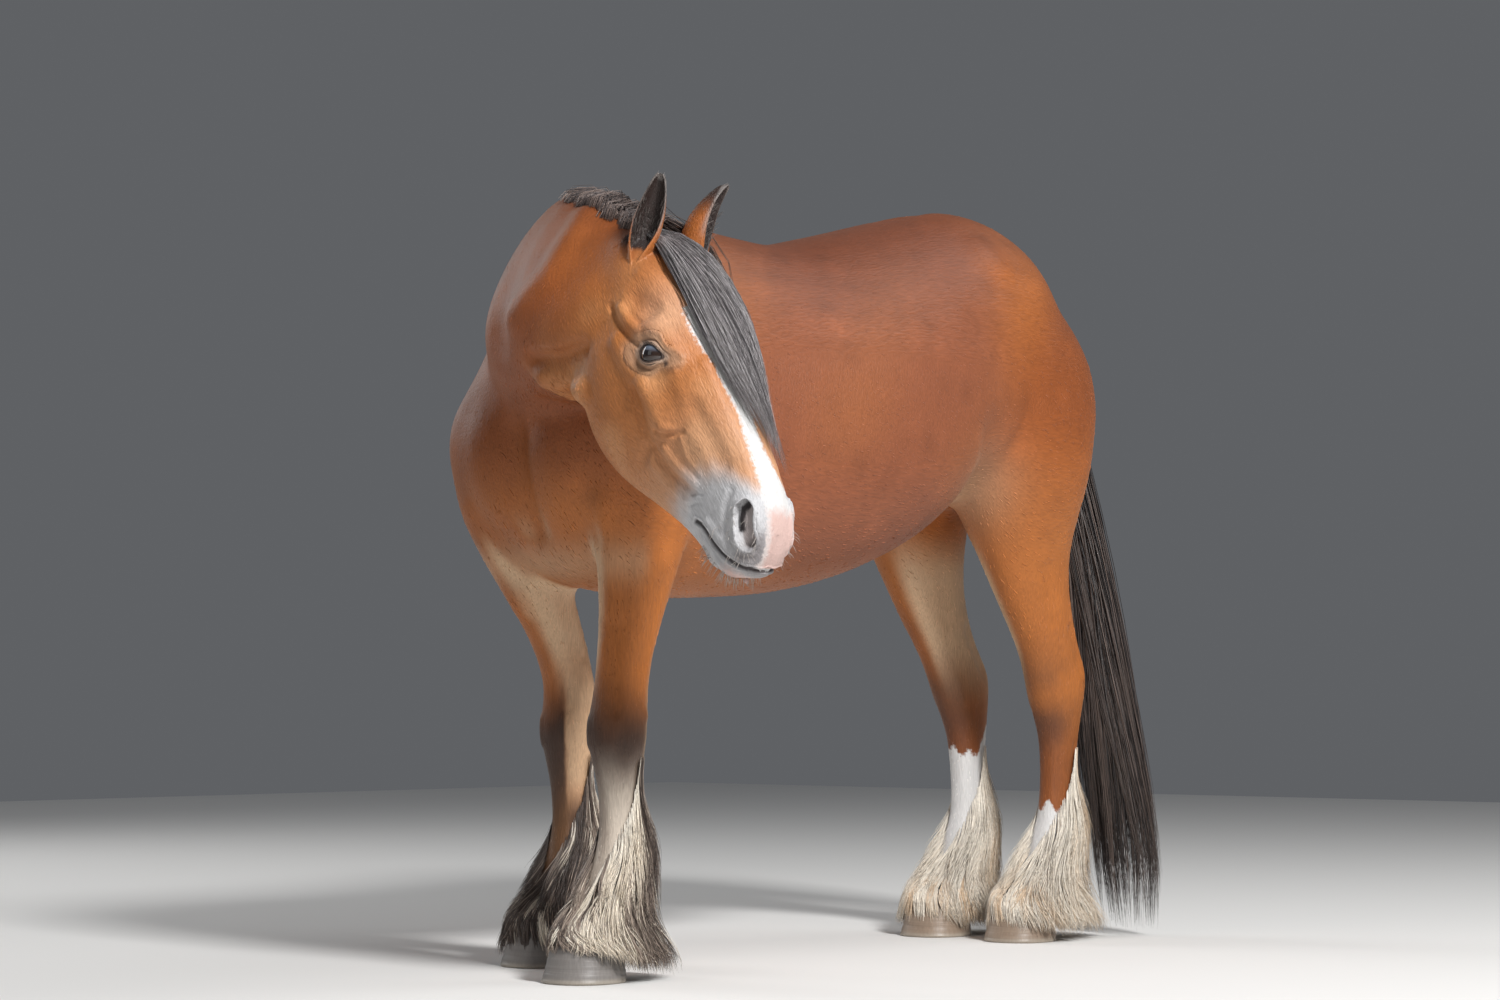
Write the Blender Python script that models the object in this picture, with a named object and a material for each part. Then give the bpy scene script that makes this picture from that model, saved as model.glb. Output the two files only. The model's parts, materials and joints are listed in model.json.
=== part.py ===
"""A gypsy vanner cob at life size, standing square with its neck bent to its left.

The body is modelled whole, from smooth rings of flesh along the trunk, neck,
head and legs, and is then parted into named pieces by thin cuts. Metres; +X is
the way the chest faces, +Y the horse's left, +Z up, and the floor is at Z = 0.
"""
import math

import bmesh
import bpy
import numpy as np
from mathutils import Vector
from mathutils.bvhtree import BVHTree

# Gap between pieces that meet, and the fineness of the modelled flesh
GAP = 0.0003
LOCK_GAP = 0.00027
MERGE = 0.000004
BODY_VOXEL = 0.010
HEAD_VOXEL = 0.0045
FLESH_TRIANGLES = 3900
HEAD_TRIANGLES = 2300

# Trunk: forward place, top, bottom, half width, height of the widest line
TRUNK = (
    (0.705, 1.06, 0.93, 0.070, 0.99),
    (0.688, 1.12, 0.86, 0.140, 0.99),
    (0.655, 1.18, 0.80, 0.183, 0.99),
    (0.600, 1.26, 0.745, 0.222, 0.99),
    (0.520, 1.33, 0.705, 0.244, 0.99),
    (0.420, 1.38, 0.690, 0.256, 0.99),
    (0.330, 1.402, 0.686, 0.264, 0.98),
    (0.200, 1.392, 0.690, 0.286, 0.98),
    (0.060, 1.386, 0.700, 0.306, 0.99),
    (-0.080, 1.414, 0.728, 0.316, 1.01),
    (-0.220, 1.448, 0.778, 0.312, 1.04),
    (-0.340, 1.478, 0.850, 0.297, 1.09),
    (-0.450, 1.503, 0.890, 0.282, 1.13),
    (-0.550, 1.498, 0.90, 0.266, 1.16),
    (-0.650, 1.462, 0.91, 0.232, 1.17),
    (-0.730, 1.395, 0.96, 0.165, 1.17),
    (-0.770, 1.320, 1.04, 0.090, 1.17),
)
# Hind limb: height, forward place, place to the side, half length, half width
HIND_LIMB = (
    (1.360, -0.520, 0.100, 0.130, 0.080),
    (1.290, -0.535, 0.125, 0.185, 0.115),
    (1.200, -0.552, 0.140, 0.222, 0.135),
    (1.110, -0.560, 0.146, 0.234, 0.139),
    (1.030, -0.567, 0.150, 0.216, 0.133),
    (0.950, -0.580, 0.150, 0.186, 0.122),
    (0.870, -0.597, 0.144, 0.150, 0.102),
    (0.800, -0.616, 0.140, 0.123, 0.080),
    (0.730, -0.638, 0.140, 0.106, 0.066),
    (0.660, -0.670, 0.140, 0.093, 0.058),
    (0.600, -0.704, 0.137, 0.087, 0.052),
    (0.555, -0.728, 0.134, 0.089, 0.050),
    (0.510, -0.738, 0.131, 0.079, 0.049),
    (0.460, -0.746, 0.128, 0.063, 0.043),
    (0.410, -0.752, 0.126, 0.051, 0.037),
    (0.330, -0.752, 0.123, 0.045, 0.033),
    (0.255, -0.747, 0.120, 0.046, 0.034),
    (0.200, -0.735, 0.118, 0.055, 0.043),
    (0.160, -0.716, 0.117, 0.056, 0.045),
    (0.125, -0.690, 0.116, 0.053, 0.045),
    (0.090, -0.664, 0.115, 0.060, 0.055),
    (0.055, -0.655, 0.115, 0.064, 0.059),
)
# Fore limb, in the same columns
FORE_LIMB = (
    (1.100, 0.540, 0.130, 0.120, 0.080),
    (1.020, 0.550, 0.150, 0.140, 0.095),
    (0.940, 0.552, 0.160, 0.136, 0.094),
    (0.860, 0.548, 0.165, 0.120, 0.084),
    (0.790, 0.550, 0.166, 0.100, 0.073),
    (0.720, 0.560, 0.166, 0.082, 0.063),
    (0.650, 0.574, 0.166, 0.067, 0.055),
    (0.580, 0.590, 0.166, 0.056, 0.050),
    (0.520, 0.600, 0.166, 0.053, 0.049),
    (0.470, 0.607, 0.166, 0.056, 0.052),
    (0.430, 0.609, 0.165, 0.056, 0.053),
    (0.385, 0.607, 0.165, 0.049, 0.045),
    (0.330, 0.604, 0.165, 0.042, 0.036),
    (0.265, 0.603, 0.164, 0.041, 0.034),
    (0.220, 0.606, 0.163, 0.047, 0.040),
    (0.182, 0.614, 0.162, 0.053, 0.045),
    (0.150, 0.628, 0.161, 0.051, 0.043),
    (0.120, 0.646, 0.160, 0.053, 0.047),
    (0.090, 0.660, 0.160, 0.060, 0.055),
    (0.055, 0.666, 0.160, 0.064, 0.059),
)
RIGHT_FORE_BACK = 0.208
RIGHT_HIND_BACK = 0.010
# Height at which a leg set back begins to bend, and over which it does
BEND_START = 0.86
BEND_SPAN = 0.38
# Cannon bones' places, then where each hoof stands
FORE_CANNON = 0.604
HIND_CANNON = -0.750
FORE_HOOF = (0.674, 0.160)
HIND_HOOF = (-0.645, 0.115)
CORONET_HEIGHT = 0.078
CORONET_SLOPE = 0.27
HOOF_CLEARANCE = 0.0012
HOOF_RINGS = (  # share of the height, half length, half width, shift forward
    (1.00, 0.0600, 0.0550, 0.000),
    (0.96, 0.0625, 0.0575, 0.001),
    (0.50, 0.0690, 0.0635, 0.006),
    (0.05, 0.0760, 0.0700, 0.012),
    (0.00, 0.0755, 0.0695, 0.012),
)
# Neck: forward, sideways, top, bottom, half width
NECK = (
    (0.240, 0.000, 1.340, 0.880, 0.150),
    (0.370, 0.000, 1.392, 0.900, 0.176),
    (0.490, 0.008, 1.416, 0.935, 0.180),
    (0.590, 0.042, 1.424, 0.970, 0.172),
    (0.665, 0.105, 1.414, 1.000, 0.152),
    (0.715, 0.185, 1.392, 1.025, 0.130),
    (0.742, 0.265, 1.364, 1.045, 0.112),
    (0.752, 0.345, 1.326, 1.060, 0.098),
    (0.760, 0.420, 1.275, 1.080, 0.080),
)
NECK_WIDEST = 0.42
# Head: where its middle axis starts, and how it is turned
HEAD_START = Vector((0.7516, 0.336, 1.2472))
HEAD_TURN = math.radians(87.2)
HEAD_TILT = math.radians(33.1)
HEAD_ROLL = math.radians(2.9)
HEAD_SCALE = 1.045
# Head: place down the axis, face line, jaw line, upper and lower half width
HEAD = (
    (-0.045, 0.055, -0.055, 0.048, 0.038),
    (-0.020, 0.082, -0.086, 0.068, 0.052),
    (0.020, 0.097, -0.124, 0.080, 0.068),
    (0.060, 0.107, -0.154, 0.087, 0.080),
    (0.105, 0.115, -0.182, 0.093, 0.090),
    (0.150, 0.119, -0.200, 0.099, 0.096),
    (0.195, 0.119, -0.210, 0.102, 0.097),
    (0.240, 0.115, -0.211, 0.099, 0.092),
    (0.285, 0.108, -0.202, 0.090, 0.082),
    (0.330, 0.100, -0.183, 0.079, 0.071),
    (0.370, 0.094, -0.162, 0.070, 0.061),
    (0.410, 0.089, -0.142, 0.063, 0.055),
    (0.450, 0.085, -0.124, 0.059, 0.052),
    (0.490, 0.079, -0.112, 0.058, 0.051),
    (0.525, 0.069, -0.107, 0.059, 0.051),
    (0.555, 0.054, -0.102, 0.056, 0.049),
    (0.577, 0.036, -0.093, 0.048, 0.043),
    (0.593, 0.014, -0.077, 0.034, 0.031),
    (0.602, -0.008, -0.050, 0.016, 0.016),
)
# Eye: its centre in head places, its radius and its opening
EYE = (0.213, 0.081, 0.0375)
EYE_RADIUS = 0.0240
EYE_LONG = 0.0215
EYE_TALL = 0.0130
EYE_SLANT = math.radians(30)
# Ear: base in head places, the way each tip goes, and its size
EAR_BASE = (0.034, 0.056, 0.070)
EAR_LEAN = {"left": (-0.092, 0.050, 0.100), "right": (-0.098, 0.031, 0.102)}
EAR_LENGTH = 0.147
EAR_STATIONS = (  # share of the length, half width, half of the angle it wraps round
    (-0.30, 0.014, 165),
    (0.00, 0.022, 150),
    (0.14, 0.029, 132),
    (0.34, 0.033, 112),
    (0.56, 0.030, 100),
    (0.76, 0.021, 92),
    (0.92, 0.010, 90),
    (1.00, 0.0035, 90),
)
EAR_WALL = 0.0045
# Tail: the bone's path and thickness
DOCK = (
    (-0.690, 0.000, 1.330, 0.040),
    (-0.760, 0.000, 1.345, 0.040),
    (-0.815, 0.004, 1.315, 0.036),
    (-0.850, 0.014, 1.235, 0.031),
    (-0.868, 0.026, 1.130, 0.026),
    (-0.880, 0.040, 1.020, 0.020),
    (-0.886, 0.048, 0.960, 0.012),
)
# Tail hair: the outline that its locks fill
TAIL_HAIR = (  # forward, sideways, height, half depth, half width
    (-0.800, 0.002, 1.335, 0.026, 0.034),
    (-0.845, 0.012, 1.240, 0.036, 0.048),
    (-0.872, 0.030, 1.080, 0.044, 0.060),
    (-0.888, 0.055, 0.900, 0.052, 0.072),
    (-0.900, 0.085, 0.700, 0.060, 0.084),
    (-0.912, 0.115, 0.480, 0.066, 0.092),
    (-0.922, 0.150, 0.270, 0.066, 0.094),
    (-0.928, 0.178, 0.110, 0.054, 0.076),
    (-0.930, 0.190, 0.020, 0.026, 0.036),
)
TAIL_LOCKS = 9
TAIL_WIDE = (0.014, 0.034, 0.044, 0.046, 0.036, 0.003)
TAIL_THICK = (0.006, 0.011, 0.013, 0.012, 0.008, 0.001)
GOLDEN_TURN = 2.39996
# Mane: layers of locks as number, length and distance off the neck; the rows of the
# neck, six to a span, between which it grows; its locks' half widths and depths
MANE_LAYERS = ((8, 0.35, 0.010), (7, 0.29, 0.022))
MANE_START = 15
MANE_END = 40
MANE_WIDE = (0.034, 0.044, 0.046, 0.036, 0.003)
MANE_THICK = (0.006, 0.0075, 0.007, 0.006, 0.001)
# Forelock: its middle line as places in the head and half width; each lock's
# share of that width and of that length
FORELOCK_PATH = (
    (-0.005, 0.000, 0.092, 0.005),
    (0.060, 0.002, 0.117, 0.011),
    (0.110, 0.024, 0.126, 0.032),
    (0.180, 0.044, 0.128, 0.040),
    (0.260, 0.054, 0.122, 0.036),
    (0.340, 0.058, 0.108, 0.026),
    (0.420, 0.060, 0.094, 0.014),
)
FORELOCK = (
    (-1.0, 0.78), (-0.6, 0.92), (-0.2, 1.0), (0.2, 0.96), (0.6, 1.0), (1.0, 0.86),
    (-0.8, 0.62), (0.0, 0.80), (0.8, 0.70),
)
FORELOCK_WIDE = (0.007, 0.011, 0.020, 0.020, 0.014, 0.0025)
FORELOCK_THICK = (0.006, 0.006, 0.0055, 0.005, 0.004, 0.001)
# Feather: tiers of locks as number, root height, tip height and spread
FEATHER_TIERS = ((3, 0.28, 0.120, 0.62), (4, 0.215, 0.058, 0.88), (5, 0.150, 0.016, 1.0))
FEATHER_WRAP = 122
FEATHER_SHARES = (0, 0.3, 0.65, 1.0)
FEATHER_WIDE = (0.026, 0.038, 0.036, 0.005)
FEATHER_THICK = (0.008, 0.009, 0.007, 0.0012)
# Reach of the feather from the leg's middle: at its root, then how much more at its tip
FEATHER_BEHIND = (0.030, 0.160)
FEATHER_AHEAD = (0.030, 0.066)
FEATHER_OUTER = (0.026, 0.084)
FEATHER_INNER = (0.026, 0.056)
# Corners of the spaces that part the body: of head and neck as outlines, of legs as
# the right-angled places above and at the floor, for the left side
HEAD_SPACE = ((-0.10, 0.23), (0.155, -0.32), (0.80, -0.32), (0.80, 0.30), (-0.13, 0.30))
HEAD_SPACE_WIDTH = 0.26
NECK_SPACE = ((0.29, 1.52), (0.72, 0.985), (1.10, 0.985), (1.10, 1.52))
NECK_SPACE_WIDTH = (-0.45, 0.60)
FORE_SPACE = (
    (0.40, 0.045, 0.700), (0.38, 0.34, 0.93), (0.66, 0.34, 0.93), (0.64, 0.045, 0.700),
    (0.20, 0.012, -0.05), (0.20, 0.40, -0.05), (0.90, 0.40, -0.05), (0.90, 0.012, -0.05),
)
HIND_SPACE = (
    (-0.95, 0.02, 0.86), (-0.95, 0.36, 1.16), (-0.37, 0.36, 1.08), (-0.39, 0.02, 0.77),
    (-1.00, 0.012, -0.05), (-1.0, 0.40, -0.05), (-0.42, 0.40, -0.05), (-0.42, 0.012, -0.05),
)
SEED = 7

COAT = (0.30, 0.095, 0.035)
HAIR = (0.022, 0.018, 0.018)
LOWER_LEG = (0.62, 0.56, 0.46)
HORN = (0.16, 0.145, 0.13)
EYE_COLOUR = (0.012, 0.008, 0.007)


def through(table, per_span=4):
    """The rows of a table joined by smooth curves."""
    rows = np.array(table, float)
    rows = np.vstack([2 * rows[0] - rows[1], rows, 2 * rows[-1] - rows[-2]])
    out = []
    for i in range(1, len(rows) - 2):
        a, b, c, d = rows[i - 1 : i + 3]
        for t in np.arange(per_span) / per_span:
            bend = 2 * a - 5 * b + 4 * c - d
            twist = 3 * (b - c) + d - a
            out.append(0.5 * (2 * b + (c - a) * t + bend * t * t + twist * t**3))
    out.append(rows[-2])
    return np.array(out)


def oval(count, square_up=2.0, square_down=2.0):
    """Across and up shares of a closed outline, squarer for larger numbers."""
    turn = np.linspace(0, 2 * math.pi, count, endpoint=False)
    across, up = np.cos(turn), np.sin(turn)
    power = np.where(up > 0, 2 / square_up, 2 / square_down)
    return np.sign(across) * np.abs(across) ** power, np.sign(up) * np.abs(up) ** power


def mesh_object(name, points, faces):
    """A new object from points and faces, its faces turned outwards."""
    mesh = bpy.data.meshes.new(name)
    mesh.from_pydata([tuple(p) for p in points], [], faces)
    shape = bmesh.new()
    shape.from_mesh(mesh)
    bmesh.ops.recalc_face_normals(shape, faces=shape.faces)
    shape.to_mesh(mesh)
    shape.free()
    piece = bpy.data.objects.new(name, mesh)
    bpy.context.scene.collection.objects.link(piece)
    return piece


def loft(name, rings):
    """A closed body through rings that have the same number of points."""
    rings = np.asarray(rings, float)
    count, around = rings.shape[:2]
    points = rings.reshape(-1, 3).tolist()
    faces = []
    for i in range(count - 1):
        for j in range(around):
            k = (j + 1) % around
            low, high = i * around, (i + 1) * around
            faces.append((low + j, low + k, high + k, high + j))
    for row in (0, count - 1):
        points.append(rings[row].mean(axis=0).tolist())
        hub = len(points) - 1
        for j in range(around):
            faces.append((hub, row * around + j, row * around + (j + 1) % around))
    return mesh_object(name, points, faces)


def evaluated(piece):
    """Gives an object the mesh that its modifiers make, and drops them."""
    graph = bpy.context.evaluated_depsgraph_get()
    mesh = bpy.data.meshes.new_from_object(piece.evaluated_get(graph))
    piece.modifiers.clear()
    old = piece.data
    piece.data = mesh
    bpy.data.meshes.remove(old)
    return piece


def remove(piece):
    bpy.data.objects.remove(piece, do_unlink=True)


def copy_of(piece, name):
    """A free copy of an object with a mesh of its own."""
    twin = bpy.data.objects.new(name, piece.data.copy())
    bpy.context.scene.collection.objects.link(twin)
    return twin


def joined(name, pieces):
    """One object that holds the loose meshes of several."""
    points, faces = [], []
    for piece in pieces:
        start = len(points)
        points += [v.co[:] for v in piece.data.vertices]
        faces += [tuple(start + i for i in p.vertices) for p in piece.data.polygons]
        remove(piece)
    return mesh_object(name, points, faces)


def remeshed(piece, voxel):
    modifier = piece.modifiers.new("flesh", "REMESH")
    modifier.mode = "VOXEL"
    modifier.voxel_size = voxel
    modifier.adaptivity = 0.0
    return evaluated(piece)


def thinned(piece, triangles):
    """Fewer triangles, kept where the form bends."""
    mesh = piece.data
    now = sum(len(p.vertices) - 2 for p in mesh.polygons)
    modifier = piece.modifiers.new("fewer", "DECIMATE")
    modifier.ratio = min(1.0, triangles / now)
    modifier.use_collapse_triangulate = True
    return evaluated(piece)


def boolean(piece, other, operation, solver="EXACT"):
    """Joins or cuts a piece with another object, which is then removed."""
    modifier = piece.modifiers.new("cut", "BOOLEAN")
    modifier.operation = operation
    modifier.solver = solver
    modifier.object = other
    evaluated(piece)
    remove(other)
    return largest(piece)


def fused(piece, parts):
    """One union of a piece with many closed meshes; its largest body is kept."""
    group = bpy.data.collections.new("parts")
    bpy.context.scene.collection.children.link(group)
    for part in parts:
        bpy.context.scene.collection.objects.unlink(part)
        group.objects.link(part)
    modifier = piece.modifiers.new("union", "BOOLEAN")
    modifier.operation = "UNION"
    modifier.solver = "MANIFOLD"
    modifier.operand_type = "COLLECTION"
    modifier.collection = group
    evaluated(piece)
    for part in list(group.objects):
        remove(part)
    bpy.data.collections.remove(group)
    return largest(piece)


def largest(piece):
    """Keeps the largest closed surface of an object's mesh."""
    shape = bmesh.new()
    shape.from_mesh(piece.data)
    bmesh.ops.remove_doubles(shape, verts=shape.verts, dist=MERGE)
    bmesh.ops.dissolve_degenerate(shape, edges=shape.edges, dist=MERGE)
    bmesh.ops.triangulate(shape, faces=shape.faces)
    left = set(shape.faces)
    best, best_volume = [], -1.0
    while left:
        start = left.pop()
        found, edge = [start], [start]
        while edge:
            face = edge.pop()
            for side in face.edges:
                for other in side.link_faces:
                    if other in left:
                        left.discard(other)
                        found.append(other)
                        edge.append(other)
        volume = 0.0
        for face in found:
            a, b, c = (v.co for v in face.verts)
            volume += a.dot(b.cross(c)) / 6
        if volume > best_volume:
            best, best_volume = found, volume
    keep = set(best)
    drop = [face for face in shape.faces if face not in keep]
    bmesh.ops.delete(shape, geom=drop, context="FACES")
    shape.to_mesh(piece.data)
    shape.free()
    return piece


def grown(piece, name, by=GAP):
    """A copy of a piece whose faces all lie a little further out."""
    twin = copy_of(piece, name)
    shape = bmesh.new()
    shape.from_mesh(twin.data)
    shape.normal_update()
    moves = [v.normal * (by * min(v.calc_shell_factor(), 3.0)) for v in shape.verts]
    for vertex, move in zip(shape.verts, moves):
        vertex.co += move
    shape.to_mesh(twin.data)
    shape.free()
    return twin


def block(name, corners):
    """The solid that wraps a few named corners."""
    shape = bmesh.new()
    for corner in corners:
        shape.verts.new(corner)
    bmesh.ops.convex_hull(shape, input=shape.verts)
    bmesh.ops.recalc_face_normals(shape, faces=shape.faces)
    mesh = bpy.data.meshes.new(name)
    shape.to_mesh(mesh)
    shape.free()
    piece = bpy.data.objects.new(name, mesh)
    bpy.context.scene.collection.objects.link(piece)
    return piece


def parted(body, region, name):
    """Takes the part of a body that lies in a region off it, leaving a thin gap."""
    piece = copy_of(body, name)
    wider = grown(region, "wider")
    boolean(piece, region, "INTERSECT")
    boolean(body, wider, "DIFFERENCE")
    return piece


def smooth(piece, rounds, share):
    """Evens a mesh out; share says how much at each place."""
    mesh = piece.data
    points = np.empty(len(mesh.vertices) * 3)
    mesh.vertices.foreach_get("co", points)
    points = points.reshape(-1, 3)
    edges = np.empty(len(mesh.edges) * 2, int)
    mesh.edges.foreach_get("vertices", edges)
    a, b = edges.reshape(-1, 2).T
    count = np.bincount(a, minlength=len(points)) + np.bincount(b, minlength=len(points))
    part = share(points)[:, None]
    for _ in range(rounds):
        total = np.zeros_like(points)
        for axis in range(3):
            total[:, axis] = np.bincount(a, points[b, axis], len(points))
            total[:, axis] += np.bincount(b, points[a, axis], len(points))
        points += part * (total / count[:, None] - points)
    mesh.vertices.foreach_set("co", points.ravel())
    mesh.update()


def sculpted(piece, moves):
    """Moves a mesh's points along their normals, one stroke after another."""
    mesh = piece.data
    points = np.empty(len(mesh.vertices) * 3)
    normals = np.empty(len(mesh.vertices) * 3)
    for move in moves:
        mesh.vertices.foreach_get("co", points)
        mesh.vertex_normals.foreach_get("vector", normals)
        new = move(points.reshape(-1, 3), normals.reshape(-1, 3))
        mesh.vertices.foreach_set("co", new.ravel())
        mesh.update()
    return piece


def to_line(points, line):
    """How far each point is from a line of straight spans."""
    line = np.asarray(line, float)
    if len(line) == 1:
        return np.linalg.norm(points - line[0], axis=1)
    best = np.full(len(points), 9.0)
    for a, b in zip(line[:-1], line[1:]):
        span = b - a
        along = np.clip((points - a) @ span / (span @ span), 0, 1)
        best = np.minimum(best, np.linalg.norm(points - a - along[:, None] * span, axis=1))
    return best


def stroke(line, radius, height):
    """A ridge, or a groove where height is below 0, along a line."""

    def move(points, normals):
        share = np.clip(1 - (to_line(points, line) / radius) ** 2, 0, 1) ** 2
        return points + normals * (height * share)[:, None]

    return move


def both_sides(line, radius, height):
    mirrored = [(x, -y, z) for x, y, z in line]
    return [stroke(line, radius, height), stroke(mirrored, radius, height)]


def head_axes():
    """Directions down the head, to its left and towards its face."""
    ahead = Vector((math.cos(HEAD_TURN), math.sin(HEAD_TURN), 0))
    up = Vector((0, 0, 1))
    down = math.sin(HEAD_TILT) * ahead - math.cos(HEAD_TILT) * up
    face = math.cos(HEAD_TILT) * ahead + math.sin(HEAD_TILT) * up
    left = face.cross(down)
    turned = math.cos(HEAD_ROLL) * left + math.sin(HEAD_ROLL) * face
    face = math.cos(HEAD_ROLL) * face - math.sin(HEAD_ROLL) * left
    return np.array([down, turned, face]) * HEAD_SCALE


def head_place(place):
    """World place of a place given down, left and towards the face of the head."""
    return np.array(HEAD_START) + np.asarray(place, float) @ head_axes()


def in_head(points):
    """World places as places in the head."""
    return (points - np.array(HEAD_START)) @ head_axes().T / HEAD_SCALE**2


def trunk():
    across, up = oval(40, 2.15, 2.2)
    rings = []
    for x, top, bottom, wide, middle in through(TRUNK):
        height = np.where(up > 0, top - middle, middle - bottom) * up
        rings.append(np.column_stack([np.full(40, x), wide * across, middle + height]))
    return loft("trunk", rings)


def limb(name, table, side, back):
    """A leg from its rings; back moves its lower part to the rear."""
    along, across = oval(24, 2.2, 2.2)
    rings = []
    for z, x, y, long, wide in through(table, 3):
        low = np.clip((BEND_START - z) / BEND_SPAN, 0, 1)
        x -= back * low * low * (3 - 2 * low)
        rings.append(
            np.column_stack([x + long * along, side * (y + wide * across), np.full(24, z)])
        )
    return loft(name, rings)


def neck():
    across, up = oval(32, 1.45, 2.1)
    rows = through(NECK)
    path = rows[:, :2]
    way = np.gradient(path, axis=0)
    rings = []
    for (x, y, top, bottom, wide), (dx, dy) in zip(rows, way):
        size = math.hypot(dx, dy)
        side = np.array([-dy / size, dx / size, 0])
        middle = bottom + (top - bottom) * NECK_WIDEST
        ring = np.array([x, y, middle]) + wide * across[:, None] * side
        ring[:, 2] += np.where(up > 0, top - middle, middle - bottom) * up
        rings.append(ring)
    return loft("neck_flesh", rings)


def head_flesh():
    across, up = oval(36, 2.5, 2.3)
    rings = []
    for x, face, jaw, upper, lower in through(HEAD):
        middle = (face + jaw) / 2 + 0.012
        share = (up + 1) / 2
        wide = lower + (upper - lower) * share * share * (3 - 2 * share)
        height = np.where(up > 0, face - middle, middle - jaw) * up
        places = np.column_stack([np.full(36, x), wide * across, middle + height])
        rings.append(head_place(places))
    return loft("head_flesh", rings)


def eye_opening(side):
    """Lids round an almond opening that shows the eyeball."""
    centre = np.array([EYE[0], side * EYE[1], EYE[2]])
    radius = EYE_RADIUS / HEAD_SCALE

    def move(points, normals):
        places = in_head(points)
        off = places - centre
        far = np.linalg.norm(off, axis=1)
        outward = off[:, 1] * side > 0.004
        along = off[:, 0] * math.cos(EYE_SLANT) + off[:, 2] * math.sin(EYE_SLANT)
        over = -off[:, 0] * math.sin(EYE_SLANT) + off[:, 2] * math.cos(EYE_SLANT)
        ring = np.sqrt((along / EYE_LONG) ** 2 + (over / EYE_TALL) ** 2)
        inside = radius - 0.006
        lid = radius + 0.0032
        rise = np.clip((ring - 0.82) / 0.28, 0, 1)
        target = inside + (lid - inside) * rise
        hold = np.clip((2.1 - ring) / 0.8, 0, 1)
        new_far = far + (target - far) * hold
        new_far = np.where(ring > 1.1, np.maximum(new_far, np.minimum(far, lid)), new_far)
        scale = np.where(outward & (ring < 2.1), new_far / np.maximum(far, 1e-6), 1.0)
        return head_place(centre + off * scale[:, None])

    return move


def dent(place, way, long, tall, deep):
    """Pushes an oval hole into the head, along the way given."""
    place, way = np.array(place), np.array(way, float)
    way /= np.linalg.norm(way)

    def move(points, normals):
        places = in_head(points)
        off = places - place
        off -= (off @ way)[:, None] * way
        ring = np.sqrt((off[:, 0] / long) ** 2 + ((off[:, 1] ** 2 + off[:, 2] ** 2) / tall**2))
        near = np.linalg.norm(places - place, axis=1) < 0.03
        share = np.clip(1.25 - ring, 0, 1) * near
        return head_place(places + way * (deep * share)[:, None])

    return move


def head_strokes():
    """The forms of the face, in head places, on both sides."""

    def placed(line, radius, height):
        out = []
        for side in (1, -1):
            world = head_place([(x, side * y, z) for x, y, z in line])
            out.append(stroke(world, radius * HEAD_SCALE, height * HEAD_SCALE))
        return out

    moves = []
    # Brow and the rim of the eye socket, then the hollow above it
    moves += placed([(0.190, 0.094, 0.074), (0.230, 0.098, 0.066)], 0.036, 0.009)
    moves += placed([(0.146, 0.078, 0.093)], 0.030, -0.006)
    # Cheekbone ridge down to the facial crest, and the hollow above it
    moves += placed([(0.255, 0.100, 0.002), (0.335, 0.082, -0.018)], 0.022, 0.006)
    moves += placed([(0.330, 0.070, 0.050), (0.430, 0.056, 0.045)], 0.030, -0.006)
    # Cheek muscle, and the groove in front of it
    moves += placed([(0.140, 0.090, -0.070), (0.230, 0.090, -0.095)], 0.075, 0.006)
    moves += placed([(0.340, 0.072, -0.050), (0.362, 0.064, -0.110)], 0.024, -0.007)
    # Nostril's rim, mouth corner and lips
    moves += placed([(0.515, 0.052, 0.040), (0.555, 0.052, 0.014)], 0.028, 0.008)
    moves += placed([(0.485, 0.054, -0.050), (0.540, 0.050, -0.042)], 0.014, 0.003)
    mouth = [(0.470, 0.052, -0.066), (0.520, 0.051, -0.056), (0.575, 0.042, -0.046), (0.602, 0, -0.034)]
    moves += placed(mouth, 0.0085, -0.0075)
    moves += placed([(0.560, 0.0, -0.098)], 0.028, 0.005)
    for side in (1, -1):
        moves.append(
            dent((0.541, side * 0.054, 0.027), (-0.35, -side * 0.9, -0.1), 0.024, 0.012, 0.016)
        )
        moves.append(eye_opening(side))
    return moves


def body_strokes():
    """Muscles and hollows of the trunk and legs."""
    moves = []
    moves += both_sides([(0.50, 0.26, 1.18), (0.60, 0.24, 0.98)], 0.11, 0.010)
    moves += both_sides([(0.66, 0.10, 0.93)], 0.10, 0.008)
    moves.append(stroke([(0.71, 0.0, 0.98), (0.66, 0.0, 0.80)], 0.045, -0.012))
    moves += both_sides([(0.44, 0.27, 0.92), (0.41, 0.25, 0.80)], 0.05, -0.008)
    moves += both_sides([(-0.33, 0.27, 1.02), (-0.36, 0.20, 0.90)], 0.08, -0.014)
    moves += both_sides([(-0.42, 0.20, 1.38)], 0.08, 0.010)
    moves.append(stroke([(-0.35, 0, 1.49), (-0.70, 0, 1.42)], 0.05, -0.010))
    moves.append(stroke([(-0.80, 0, 1.20), (-0.76, 0, 0.98)], 0.06, -0.020))
    return moves


def smooth_share(points):
    """Much smoothing where limbs join the trunk, little at the lower legs."""
    return 0.5 * np.clip((points[:, 2] - 0.35) / 0.35, 0.12, 1)


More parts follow.
